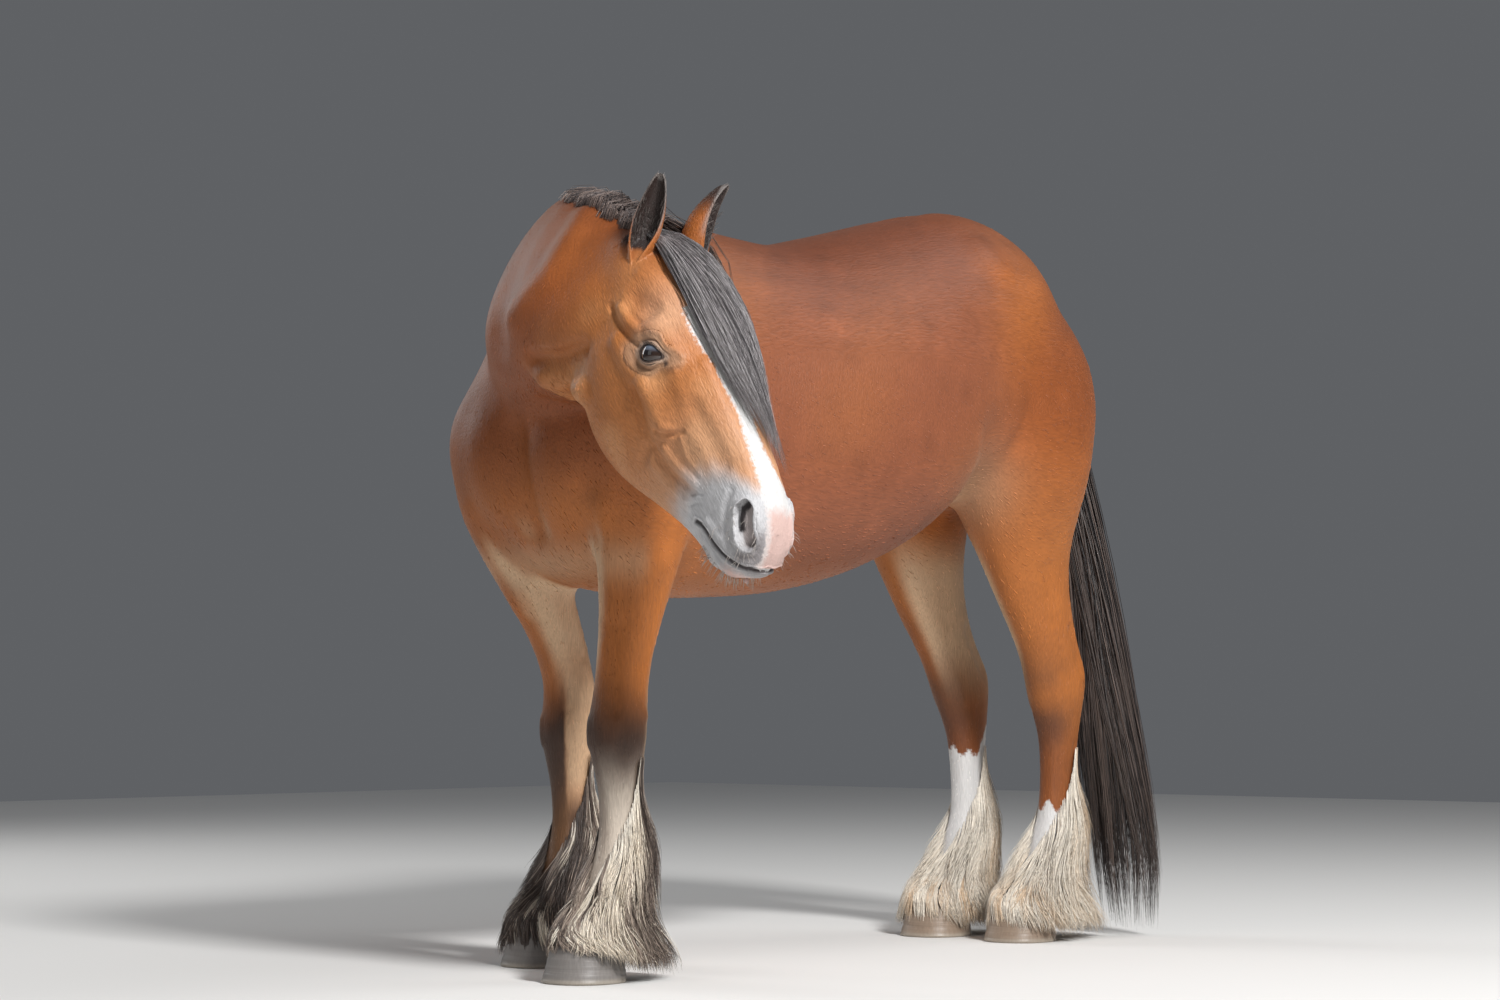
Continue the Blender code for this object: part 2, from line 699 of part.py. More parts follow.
def flesh():
    """The whole body in one mesh of few triangles."""
    pieces = [trunk(), neck(), head_flesh()]
    for side, back_fore, back_hind in ((1, 0, 0), (-1, RIGHT_FORE_BACK, RIGHT_HIND_BACK)):
        pieces.append(limb("fore", FORE_LIMB, side, back_fore))
        pieces.append(limb("hind", HIND_LIMB, side, back_hind))
    body = remeshed(joined("torso", pieces), BODY_VOXEL)
    smooth(body, 12, smooth_share)
    sculpted(body, body_strokes())
    smooth(body, 3, smooth_share)
    return thinned(body, FLESH_TRIANGLES)


def fine_head():
    """Head and the end of the neck, with the forms of the face."""
    head = remeshed(joined("head", [neck(), head_flesh()]), HEAD_VOXEL)
    smooth(head, 14, lambda points: np.full(len(points), 0.5))
    sculpted(head, head_strokes())
    smooth(head, 1, lambda points: np.full(len(points), 0.25))
    return head


def head_region():
    """The space of the head, behind whose back wall the neck begins."""
    wide = HEAD_SPACE_WIDTH
    corners = [head_place((x, y, z)) for x, z in HEAD_SPACE for y in (-wide, wide)]
    return block("head_region", corners)


def neck_region():
    return block("neck_region", [(x, y, z) for x, z in NECK_SPACE for y in NECK_SPACE_WIDTH])


def leg_region(corners, side):
    return block("leg_region", [(x, side * y, z) for x, y, z in corners])


def hoof_top(x, centre):
    return CORONET_HEIGHT + CORONET_SLOPE * (x - centre)


def hoof_block(x, y, gap):
    """The space below the coronet."""
    corners = []
    for dx in (-0.2, 0.2):
        for dy in (-0.12, 0.12):
            corners.append((x + dx, y + dy, hoof_top(x + dx, x) + gap))
            corners.append((x + dx, y + dy, -0.2))
    return block("hoof_block", corners)


def hoof(name, x, y):
    """A hoof of horn, flat below, its top cut along the coronet's slope."""
    along, across = oval(16, 2.2, 2.2)
    rings = []
    for share, long, wide, shift in HOOF_RINGS:
        ring_x = x + shift + long * along
        height = hoof_top(x + HOOF_RINGS[0][1] * along, x) * share
        rings.append(np.column_stack([ring_x, y + wide * across, height]))
    return loft(name, rings)


def ear(name, side):
    """A cupped ear, thin walled, open to the front and side."""
    sign = 1 if side == "left" else -1
    base = np.array([EAR_BASE[0], sign * EAR_BASE[1], EAR_BASE[2]])
    lean = np.array(EAR_LEAN[side])
    lean /= np.linalg.norm(lean)
    opening = np.array([0.30, sign * 0.85, 0.45])
    opening -= (opening @ lean) * lean
    opening /= np.linalg.norm(opening)
    side_way = np.cross(lean, opening)
    rings = []
    for share, radius, wrap in EAR_STATIONS:
        turn = np.radians(np.linspace(-wrap, wrap, 7))
        wall = min(EAR_WALL, radius * 0.6)
        tip_bend = 0.010 * max(share, 0) ** 3
        centre = base + lean * (share * EAR_LENGTH / HEAD_SCALE) + opening * tip_bend
        outer = [centre - radius * (math.cos(t) * opening - math.sin(t) * side_way) for t in turn]
        inner = [
            centre - (radius - wall) * (math.cos(t) * opening - math.sin(t) * side_way)
            for t in turn[::-1]
        ]
        rings.append(head_place(np.array(outer + inner)))
    return loft(name, rings)


def eyeball(name, side):
    mesh = bpy.data.meshes.new(name)
    shape = bmesh.new()
    bmesh.ops.create_uvsphere(shape, u_segments=12, v_segments=8, radius=EYE_RADIUS)
    bmesh.ops.translate(shape, verts=shape.verts, vec=head_place((EYE[0], side * EYE[1], EYE[2])))
    shape.to_mesh(mesh)
    shape.free()
    piece = bpy.data.objects.new(name, mesh)
    bpy.context.scene.collection.objects.link(piece)
    return piece


def tube(name, rows, around=14, per_span=3):
    """A body round a path: three places, then one or two half widths."""
    rows = through(rows, per_span)
    path = rows[:, :3]
    way = np.gradient(path, axis=0)
    turn = np.linspace(0, 2 * math.pi, around, endpoint=False)
    rings = []
    for row, forward in zip(rows, way):
        forward = forward / np.linalg.norm(forward)
        side = np.cross(forward, (1, 0, 0)) if abs(forward[0]) < 0.9 else np.array([0, 1.0, 0])
        side /= np.linalg.norm(side)
        back = np.cross(side, forward)
        deep, wide = row[3], row[-1]
        ring = row[:3] + wide * np.cos(turn)[:, None] * side + deep * np.sin(turn)[:, None] * back
        rings.append(ring)
    return loft(name, rings)


def surface_of(piece):
    """A tree in which rays find an object's surface."""
    points = [v.co.copy() for v in piece.data.vertices]
    return BVHTree.FromPolygons(points, [tuple(p.vertices) for p in piece.data.polygons])


def crest():
    """Places along the top of the neck, with the way to the neck's left there."""
    rows = through(NECK, 6)
    way = np.gradient(rows[:, :2], axis=0)
    out = []
    for (x, y, top, _, _), (dx, dy) in zip(rows, way):
        size = math.hypot(dx, dy)
        out.append((Vector((x, y, top)), Vector((-dy / size, dx / size, 0))))
    return out


def hung(root, side, length, steps, clear, tree):
    """A line of hair that leaves its root to one side and hangs down the flesh."""
    line = [root - side * 0.004 - Vector((0, 0, 0.042)), root + side * 0.016 - Vector((0, 0, 0.013))]
    reach = 0.02
    for k in range(1, steps + 1):
        height = root.z - length * k / steps
        start = Vector((root.x, root.y, height)) + side * 0.5
        hit, _, _, distance = tree.ray_cast(start, -side, 0.62)
        if hit is not None:
            reach = max(0.5 - distance, reach * 0.9)
        line.append(Vector((root.x, root.y, height)) + side * (reach + clear * (0.5 + k / steps)))
    return line


def lock(path, wide, thick, facing):
    """A flat lock of hair that tapers; facing is the way its broad side looks."""
    path = np.asarray(path, float)
    facing = np.asarray(facing, float)
    if facing.ndim == 1:
        facing = np.repeat(facing[None], len(path), axis=0)
    way = np.gradient(path, axis=0)
    rings = []
    for point, forward, face, half, deep in zip(path, way, facing, wide, thick):
        side = np.cross(forward, face)
        side /= np.linalg.norm(side)
        front = np.cross(side, forward)
        front /= np.linalg.norm(front)
        rings.append([point + half * side, point + deep * front, point - half * side, point - deep * front])
    return loft("lock", rings)


def mane_locks(tree):
    """Two layers of locks that fall from the crest to the neck's left."""
    random = np.random.default_rng(SEED)
    line = crest()
    locks = []
    for layer, (count, length, clear) in enumerate(MANE_LAYERS):
        for i in range(count):
            share = (i + 0.5 * (layer + 1) * 0.9) / (count + 0.4)
            index = MANE_START + share * (MANE_END - MANE_START)
            root, side = line[int(round(index))]
            forward = side.cross(Vector((0, 0, 1)))
            fall = length * random.uniform(0.88, 1.08) * (1 - 0.35 * max(0.0, share - 0.7) / 0.3)
            path = hung(root, side, fall, 3, clear, tree)
            drift = random.uniform(-0.020, 0.034)
            for k in range(2, len(path)):
                path[k] = path[k] + forward * (drift * (k / 4) ** 2)
            wide = np.array(MANE_WIDE) * random.uniform(0.9, 1.1)
            facing = [Vector((0, 0, 1)) + side * 0.3, Vector((0, 0, 1)) + side] + [side] * 3
            locks.append(lock(path, wide, MANE_THICK, facing))
    return locks


def forelock_locks():
    """Locks from between the ears, over the brow and down the face's left."""
    random = np.random.default_rng(SEED + 1)
    locks = []
    for i, (share, length) in enumerate(FORELOCK):
        rows = through(FORELOCK_PATH, 3)
        keep = rows[: max(5, int(len(rows) * length))]
        keep = keep[np.linspace(0, len(keep) - 1, 6).round().astype(int)]
        lift = 0.004 + 0.0045 * (i % 2)
        path, facing = [], []
        for k, (x, y, z, half) in enumerate(keep):
            aside = half * share + random.uniform(-0.003, 0.003)
            drop = 0.20 * half * share * abs(share)
            path.append(head_place((x, y + aside, z - drop + (lift if k else -0.014))))
            facing.append(head_axes()[2] + 0.25 * share * head_axes()[1])
        locks.append(lock(path, FORELOCK_WIDE, FORELOCK_THICK, facing))
    return locks


def feather_locks(x, y, cannon):
    """Tiers of locks over the back and sides of the fetlock, down to the floor."""
    random = np.random.default_rng(SEED + 2)
    locks = []
    for count, root_height, tip_height, spread in FEATHER_TIERS:
        for i in range(count):
            turn = math.radians(FEATHER_WRAP) * (2 * (i + 0.5) / count - 1) + random.uniform(-0.06, 0.06)
            back, aside = math.cos(turn), math.sin(turn)
            inward = aside * y < 0
            long = FEATHER_BEHIND if back > 0 else FEATHER_AHEAD
            wide = FEATHER_INNER if inward else FEATHER_OUTER
            path, facing = [], []
            for share in FEATHER_SHARES:
                fall = share + 0.25 * share * (1 - share)
                height = root_height + (tip_height - root_height) * fall
                low = np.clip((0.30 - height) / 0.29, 0, 1)
                centre = cannon + (x - 0.01 - cannon) * min(1, 1.3 * low)
                out = share**0.8 * spread
                behind = back * (long[0] + out * long[1])
                path.append((centre - behind, y + aside * (wide[0] + out * wide[1]), height))
                facing.append((-back, aside, 0.35))
            size = random.uniform(0.9, 1.12)
            locks.append(lock(path, np.array(FEATHER_WIDE) * size, FEATHER_THICK, facing))
    return locks


def tail_locks():
    """Long locks rooted round the tail's bone, falling inside the tail's outline."""
    random = np.random.default_rng(SEED + 3)
    outline = through(TAIL_HAIR, 4)
    bone = through(DOCK, 4)
    heights = outline[::-1, 2]
    locks = []
    for i in range(TAIL_LOCKS):
        share = (i + 0.5) / TAIL_LOCKS
        root = bone[int(6 + share * (len(bone) - 9))]
        turn = i * GOLDEN_TURN
        reach = 0.55 + 0.45 * ((i * 0.37) % 1)
        tip = 0.020 + 0.34 * ((i * 0.618) % 1) ** 2
        path = [root[:3]]
        facing = [(math.cos(turn), math.sin(turn), 0)]
        for k in range(1, 6):
            height = root[2] + (tip - root[2]) * (k / 5)
            row = [np.interp(height, heights, outline[::-1, c]) for c in (0, 1, 3, 4)]
            grow = min(1.0, 0.45 + 0.3 * k) * reach
            twist = turn + 0.25 * k * (1 if i % 2 else -1)
            deep, wide = grow * row[2] * math.cos(twist), grow * row[3] * math.sin(twist)
            path.append((row[0] + deep, row[1] + wide, height))
            facing.append((math.cos(twist), math.sin(twist), 0))
        size = random.uniform(0.9, 1.15)
        locks.append(lock(path, np.array(TAIL_WIDE) * size, TAIL_THICK, facing))
    return locks


def material(name, colour, roughness):
    made = bpy.data.materials.new(name)
    made.use_nodes = True
    shader = made.node_tree.nodes["Principled BSDF"]
    shader.inputs["Base Color"].default_value = (*colour, 1)
    shader.inputs["Roughness"].default_value = roughness
    return made


def finish(pieces):
    """Names, materials, and the horse's middle brought over the origin."""
    looks = {
        "coat": material("coat", COAT, 0.5),
        "hair": material("hair", HAIR, 0.45),
        "lower_leg": material("lower_leg", LOWER_LEG, 0.6),
        "horn": material("horn", HORN, 0.4),
        "eye": material("eye", EYE_COLOUR, 0.05),
    }
    corners = np.array([v.co[:] for piece in pieces for v in piece.data.vertices])
    low, high = corners.min(axis=0), corners.max(axis=0)
    move = Vector((-(low[0] + high[0]) / 2, -(low[1] + high[1]) / 2, 0))
    for piece in pieces:
        for vertex in piece.data.vertices:
            vertex.co += move
        kind = piece.name.split("_")[0]
        look = {"hoof": "horn", "eye": "eye", "tail": "hair", "leg": "lower_leg"}.get(kind, "coat")
        piece.data.materials.clear()
        piece.data.materials.append(looks[look])
        piece.data.shade_smooth()
        piece.data.set_sharp_from_angle(angle=math.radians(50))


def main():
    for old in list(bpy.data.objects):
        bpy.data.objects.remove(old, do_unlink=True)
    body = flesh()
    tree = surface_of(body)
    head = thinned(fine_head(), HEAD_TRIANGLES)
    parted_head = parted(body, head_region(), "spare")
    remove(parted_head)
    boolean(head, head_region(), "INTERSECT")
    neck_piece = parted(body, neck_region(), "neck")
    pieces = [head, neck_piece]
    for side, word in ((1, "left"), (-1, "right")):
        for kind, space, place, back, cannon in (
            ("fore", FORE_SPACE, FORE_HOOF, RIGHT_FORE_BACK, FORE_CANNON),
            ("hind", HIND_SPACE, HIND_HOOF, RIGHT_HIND_BACK, HIND_CANNON),
        ):
            leg = parted(body, leg_region(space, side), f"leg_{kind}_{word}")
            shift = back if side < 0 else 0
            x, y = place[0] - shift, side * place[1]
            boolean(leg, hoof_block(x, y, GAP), "DIFFERENCE")
            horn = hoof(f"hoof_{kind}_{word}", x, y)
            fused(leg, feather_locks(x, y, cannon - shift))
            boolean(leg, grown(horn, "wider", HOOF_CLEARANCE), "DIFFERENCE")
            pieces += [leg, horn]
    fused(neck_piece, mane_locks(tree))
    boolean(neck_piece, grown(body, "wider", LOCK_GAP), "DIFFERENCE")
    for side, word in ((1, "left"), (-1, "right")):
        ball = eyeball(f"eye_{word}", side)
        boolean(head, grown(ball, "wider"), "DIFFERENCE")
        pieces.append(ball)
    for word in ("left", "right"):
        cup = ear(f"ear_{word}", word)
        boolean(cup, grown(head, "wider"), "DIFFERENCE")
        pieces.append(cup)
    fused(head, forelock_locks())
    tail = tube("tail", DOCK, 10, 2)
    fused(tail, tail_locks())
    boolean(tail, grown(body, "wider"), "DIFFERENCE", "MANIFOLD")
    pieces += [tail, body]
    finish(pieces)


main()
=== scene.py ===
"""A gypsy vanner cob: its skin, coat, hair, eyes, hooves and studio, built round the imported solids.

Everything is made in the horse's own places, +X ahead, +Y to its left, +Z up,
and is moved by SHIFT to where the solids stand.
"""
import json
import math

import bmesh
import bpy
import numpy as np
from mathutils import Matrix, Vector
from mathutils.bvhtree import BVHTree

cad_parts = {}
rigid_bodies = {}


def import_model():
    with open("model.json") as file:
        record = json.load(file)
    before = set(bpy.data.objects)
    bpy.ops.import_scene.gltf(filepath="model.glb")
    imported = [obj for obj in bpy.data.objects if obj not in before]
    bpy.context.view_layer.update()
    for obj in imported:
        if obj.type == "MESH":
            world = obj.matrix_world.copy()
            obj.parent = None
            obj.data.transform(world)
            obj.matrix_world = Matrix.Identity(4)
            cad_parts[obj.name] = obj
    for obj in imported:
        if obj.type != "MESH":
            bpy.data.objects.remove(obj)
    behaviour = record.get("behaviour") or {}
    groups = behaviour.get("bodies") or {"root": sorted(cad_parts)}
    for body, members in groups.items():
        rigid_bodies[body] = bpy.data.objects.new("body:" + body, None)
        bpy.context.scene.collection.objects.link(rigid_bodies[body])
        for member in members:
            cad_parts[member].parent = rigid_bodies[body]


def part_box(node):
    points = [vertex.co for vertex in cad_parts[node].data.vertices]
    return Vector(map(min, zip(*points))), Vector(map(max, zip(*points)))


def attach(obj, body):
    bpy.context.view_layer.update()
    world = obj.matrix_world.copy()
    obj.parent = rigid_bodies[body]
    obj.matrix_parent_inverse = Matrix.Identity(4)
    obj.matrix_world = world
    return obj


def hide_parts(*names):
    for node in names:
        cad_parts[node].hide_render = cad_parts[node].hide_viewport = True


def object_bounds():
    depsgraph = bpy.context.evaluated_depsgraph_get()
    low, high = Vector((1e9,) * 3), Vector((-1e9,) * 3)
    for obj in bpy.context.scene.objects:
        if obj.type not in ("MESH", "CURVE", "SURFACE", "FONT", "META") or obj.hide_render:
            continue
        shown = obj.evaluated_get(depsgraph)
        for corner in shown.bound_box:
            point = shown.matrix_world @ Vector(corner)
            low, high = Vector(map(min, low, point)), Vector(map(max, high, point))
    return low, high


bl_info = {
    "name": "Gypsy vanner cob",
    "version": (1, 0, 0),
    "blender": (4, 5, 0),
    "location": "View3D > Sidebar > Cob",
    "description": "Builds a life-size bay cob with mane, tail and leg feather",
    "category": "Object",
}

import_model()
CAD_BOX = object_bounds()
# The two sides and the way each lies along Y
SIDES = {"left": 1, "right": -1}


def in_metres(rows):
    """A table given in millimetres."""
    return np.array(rows, float) / 1000


# Fineness of the skin, its rounds of smoothing and its triangles without ears and lids
SKIN_VOXEL = 0.0088
SMOOTH_ROUNDS = 16
SKIN_TRIANGLES = 174000

# Trunk, in mm: forward place, top, bottom, half width, height of the widest line
TRUNK = in_metres((
    (705, 1060, 930, 70, 990), (688, 1120, 860, 140, 990), (655, 1180, 800, 183, 990),
    (600, 1260, 745, 222, 990), (520, 1330, 705, 244, 990), (420, 1380, 690, 256, 990),
    (330, 1402, 686, 264, 980), (200, 1392, 690, 286, 980), (60, 1386, 700, 306, 990),
    (-80, 1414, 728, 316, 1010), (-220, 1448, 778, 312, 1040), (-340, 1478, 850, 297, 1090),
    (-450, 1503, 890, 282, 1130), (-550, 1498, 900, 266, 1160), (-650, 1462, 910, 232, 1170),
    (-730, 1395, 960, 165, 1170), (-770, 1320, 1040, 90, 1170),
))
# Hind limb, in mm: height, forward place, place to the side, half length, half width
HIND_LIMB = in_metres((
    (1360, -520, 100, 130, 80), (1290, -535, 125, 185, 115), (1200, -552, 140, 222, 135),
    (1110, -560, 146, 234, 139), (1030, -567, 150, 216, 133), (950, -580, 150, 186, 122),
    (870, -597, 144, 150, 102), (800, -616, 140, 123, 80), (730, -638, 140, 106, 66),
    (660, -670, 140, 93, 58), (600, -704, 137, 87, 52), (555, -728, 134, 89, 50),
    (510, -738, 131, 79, 49), (460, -746, 128, 63, 43), (410, -752, 126, 51, 37),
    (330, -752, 123, 45, 33), (255, -747, 120, 46, 34), (200, -735, 118, 55, 43),
    (160, -716, 117, 56, 45), (125, -690, 116, 53, 45), (90, -664, 115, 60, 55),
    (55, -655, 115, 64, 59),
))
# Fore limb, in the same columns
FORE_LIMB = in_metres((
    (1100, 540, 130, 120, 80), (1020, 550, 150, 140, 95), (940, 552, 160, 136, 94),
    (860, 548, 165, 120, 84), (790, 550, 166, 100, 73), (720, 560, 166, 82, 63),
    (650, 574, 166, 67, 55), (580, 590, 166, 56, 50), (520, 600, 166, 53, 49), (470, 607, 166, 56, 52),
    (430, 609, 165, 56, 53), (385, 607, 165, 49, 45), (330, 604, 165, 42, 36), (265, 603, 164, 41, 34),
    (220, 606, 163, 47, 40), (182, 614, 162, 53, 45), (150, 628, 161, 51, 43), (120, 646, 160, 53, 47),
    (90, 660, 160, 60, 55), (55, 666, 160, 64, 59),
))
LIMBS = {"fore": FORE_LIMB, "hind": HIND_LIMB}
STEP_BACK = {"fore_left": 0.0, "fore_right": 0.208, "hind_left": 0.0, "hind_right": 0.010}
HOOF_PLACE = {"fore": (0.674, 0.160), "hind": (-0.645, 0.115)}
CORONET_HEIGHT = 0.078
CORONET_SLOPE = 0.27
# Hoof: share of the height, half length, half width, shift forward
HOOF_RINGS = (
    (1.00, 0.0560, 0.0510, 0.000), (0.98, 0.0600, 0.0550, 0.000), (0.93, 0.0625, 0.0575, 0.001),
    (0.72, 0.0655, 0.0605, 0.0035), (0.50, 0.0690, 0.0635, 0.006), (0.25, 0.0725, 0.0668, 0.009),
    (0.07, 0.0755, 0.0697, 0.012), (0.02, 0.0755, 0.0696, 0.012), (0.00, 0.0735, 0.0676, 0.012),
)
# Neck, in mm: forward, sideways, top, bottom, half width
NECK = in_metres((
    (240, 0, 1340, 880, 150), (370, 0, 1392, 900, 176), (490, 8, 1416, 935, 180),
    (590, 42, 1424, 970, 172), (665, 105, 1414, 1000, 152), (715, 185, 1392, 1025, 130),
    (742, 265, 1364, 1045, 112), (752, 345, 1326, 1060, 98), (760, 420, 1275, 1080, 80),
))
NECK_WIDEST = 0.42
# Head: where its middle axis starts, how it is turned, its scale and the height of its widest line
HEAD_START = Vector((0.7516, 0.336, 1.2472))
HEAD_TURN = math.radians(87.2)
HEAD_TILT = math.radians(33.1)
HEAD_ROLL = math.radians(2.9)
HEAD_SCALE = 1.045
FACE_RISE = 0.012
# Head, in mm: place down the axis, face line, jaw line, upper and lower half width
HEAD = in_metres((
    (-45, 55, -55, 48, 38), (-20, 82, -86, 68, 52), (20, 97, -124, 80, 68), (60, 107, -154, 87, 80),
    (105, 115, -182, 93, 90), (150, 119, -200, 99, 96), (195, 119, -210, 102, 97),
    (240, 115, -211, 99, 92), (285, 108, -202, 90, 82), (330, 100, -183, 79, 71),
    (370, 94, -162, 70, 61), (410, 89, -142, 63, 55), (450, 85, -124, 59, 52), (490, 79, -112, 58, 51),
    (525, 69, -107, 59, 51), (555, 54, -102, 56, 49), (577, 36, -93, 48, 43), (593, 14, -77, 34, 31),
    (602, -8, -50, 16, 16),
))
# Eye: its centre in head places, its radius in metres and in head places, and its opening
EYE = (0.213, 0.081, 0.0375)
EYE_DEEPER = 0.0026
BALL_RADIUS = 0.0252
EYE_RADIUS = BALL_RADIUS / HEAD_SCALE
EYE_LONG = 0.0246
EYE_TALL = 0.0142
EYE_SLANT = math.radians(44)
LOWER_LID = 1.02
# Folds round the eye: place as a share of the opening, width, height above and below it
EYE_FOLDS = ((1.55, 0.10, -0.0018, 0.0), (1.72, 0.18, 0.0008, -0.0022), (2.20, 0.30, -0.0005, 0.0005))
# Line of the mouth, middle line of the nostril and the upper part of its opening, which is painted near
# black as shade, in mm in head places
MOUTH = in_metres((
    (466, 47, -69), (480, 49, -60), (500, 50, -55), (525, 50, -51), (549, 49, -43), (575, 44, -32),
    (592, 31, -21), (601, 0, -15),
))
NOSTRIL = in_metres(((522, 49, 40), (534, 51, 30), (549, 50, 21), (562, 46, 15)))
NOSTRIL_DARK = in_metres(((514, 48, 45), (515, 52, 34), (525, 54, 23), (539, 54, 15)))
# Forms of the face: lines in mm in head places, how wide they are and how high or deep
FACE_FORMS = (
    # Brow over the eye, the hollow above it and the wrinkles behind it
    (((168, 90, 64), (205, 88, 76), (244, 83, 72)), 30, 8), (((112, 85, 50), (142, 83, 68)), 32, -9.5),
    (((84, 88, 0), (112, 92, 1), (143, 96, 9), (172, 97, 17)), 10, -5),
    (((100, 90, 18), (135, 93, 24), (160, 94, 36)), 13, 5), (((122, 88, 36), (150, 90, 44)), 8, -2.8),
    (((70, 70, 78), (110, 60, 100), (150, 45, 112)), 22, 4),
    # Cheekbone behind and below the eye, down to the crest, whose end is a sharp fold
    (((145, 97, -14), (200, 99, -14), (245, 95, -6)), 22, 5),
    (((245, 95, -2), (277, 88, -12), (316, 79, -21)), 26, 6.2),
    (((312, 79, -33), (325, 76, -25), (338, 73, -9), (345, 71, 8)), 9, -3.6),
    (((316, 78, -18), (330, 75, -4)), 11, 3), (((256, 90, 34), (300, 82, 26), (336, 75, 22)), 22, -3),
    # Nasal bone, the hollow beside it and the veins of the face
    (((270, 46, 100), (370, 40, 90), (460, 36, 80)), 18, 3), (((330, 71, 50), (430, 58, 44)), 28, -6.5),
    (((345, 73, 16), (390, 64, 24), (440, 57, 32)), 7, 2.2),
    (((262, 80, 60), (300, 76, 56), (350, 66, 60)), 7, 1.8),
    (((350, 70, 0), (380, 64, -12), (420, 58, -6)), 7, 1.8),
    # Muscles of cheek and lips with the grooves between them
    (((140, 95, -80), (235, 92, -110)), 85, 6),
    (((238, 96, -26), (277, 87, -46), (316, 77, -62), (330, 72, -110)), 16, -5),
    (((326, 74, -59), (352, 66, -64), (383, 59, -59), (430, 55, -40)), 11, -5.6),
    (((345, 70, -42), (380, 63, -40), (420, 58, -26)), 14, 4.4),
    (((345, 68, -84), (385, 60, -82), (435, 54, -68)), 16, 4.6),
    (((350, 64, -112), (400, 56, -106), (455, 50, -92)), 12, -3.6),
    (((100, 80, -140), (180, 86, -178), (260, 80, -178)), 22, 3.5),
    # Wings of the nostril with the fold inside it
    (((507, 47, 52), (503, 54, 32), (520, 57, 12), (550, 55, -2)), 10, 4.2),
    (((552, 54, -4), (574, 48, -2), (586, 38, 10)), 11, 4),
    (((582, 34, 22), (552, 38, 46), (520, 42, 56)), 13, 5),
    (((478, 54, 34), (492, 57, 10), (520, 57, -12)), 13, -3.6),
    # Lips and chin
    (((486, 52, -44), (545, 51, -30), (584, 36, -14)), 15, 4),
    (((496, 45, -74), (545, 45, -66), (580, 30, -52)), 14, 4),
    (((565, 12, -96), (590, 10, -74)), 45, -8.5), (((520, 10, -106), (545, 10, -100)), 22, 3),
    (((480, 10, -118), (500, 10, -112)), 20, -4), (((575, 4, 36), (600, 4, -6)), 11, -2),
)
# Folds at the throat, in mm: line in head places, width and height
THROAT_FOLDS = (
    (((63, -62, -224), (91, -55, -205), (150, -81, -140)), 40, 20),
    (((30, -81, -215), (75, -84, -156), (100, -88, -90)), 22, -14),
)
# Forms of the body, in mm: on one side or both, line, width and height
BODY_FORMS = (
    # Edge and hollows of the bent neck, grooves and muscles of the breast
    (1, ((756, 235, 1350), (784, 236, 1317), (833, 208, 1237), (830, 120, 1175)), 50, 12),
    (1, ((700, 110, 1330), (770, 90, 1230), (790, 40, 1140)), 70, -12),
    (1, ((800, 290, 1240), (820, 270, 1190)), 40, -10),
    (1, ((742, 116, 1027), (714, 138, 1017), (700, 170, 1010)), 26, -12),
    (1, ((800, 160, 1190), (790, 110, 1130), (745, 80, 1060)), 34, -7),
    (1, ((704, -10, 990), (697, -10, 900), (660, -10, 800)), 40, -12),
    (1, ((690, -110, 970), (660, -110, 860)), 80, 12), (1, ((690, 90, 960), (660, 90, 860)), 80, 12),
    (2, ((640, 150, 790), (560, 130, 725)), 22, -7),
    # Shoulder, elbow, flank and hip, and the lines of back, belly and buttocks
    (2, ((500, 260, 1180), (600, 240, 980)), 110, 10), (2, ((660, 100, 930),), 100, 8),
    (1, ((710, 0, 980), (660, 0, 800)), 45, -12), (2, ((440, 270, 920), (410, 250, 800)), 50, -10),
    (2, ((460, 270, 1280), (400, 285, 1120), (400, 285, 980)), 45, -7),
    (2, ((360, 270, 1150), (300, 290, 1000)), 70, 6),
    (2, ((-330, 270, 1020), (-360, 200, 900)), 80, -14),
    (2, ((-300, 300, 1240), (-380, 280, 1160)), 70, -6), (2, ((-420, 200, 1380),), 80, 10),
    (2, ((-600, 250, 1200), (-660, 220, 1020), (-680, 190, 880)), 35, -6),
    (1, ((-350, 0, 1490), (-700, 0, 1420)), 50, -10), (1, ((-800, 0, 1200), (-760, 0, 980)), 60, -20),
    (1, ((200, 0, 1400), (-200, 0, 1450)), 30, -5),
)
# Forms of the legs on both sides: places as height and shares of the half sizes, width, height
LEG_FORMS = {
    "fore": (
        (((0.38, -0.35, 1), (0.24, -0.35, 1)), 0.016, -0.0040),
        (((0.46, 0.75, 0.6), (0.42, 0.75, 0.6)), 0.020, 0.0030),
        (((0.47, -0.6, 1),), 0.022, 0.0035),
        (((0.70, -0.1, 1), (0.56, 0.0, 1)), 0.024, -0.0030),
        (((0.195, -0.2, 1),), 0.028, 0.0035),
    ),
    "hind": (
        (((0.40, -0.35, 1), (0.26, -0.30, 1)), 0.016, -0.0040),
        (((0.64, -0.45, 1), (0.56, -0.50, 1)), 0.026, -0.0065),
        (((0.53, 0.55, 1), (0.49, 0.60, 1)), 0.024, 0.0035),
        (((0.76, 0.1, 1), (0.66, 0.25, 1)), 0.030, -0.0030),
        (((0.195, -0.2, 1),), 0.028, 0.0035),
    ),
}
# Forms on one side of a leg only: the forearm's muscle and the bone behind the knee
LEG_FORMS_ONCE = {
    "fore": (
        (((0.85, 0.9, 0.1), (0.66, 0.9, 0.2)), 0.035, 0.0040),
        (((0.56, -0.1, -1.0),), 0.020, 0.0045),
    ),
    "hind": (),
}
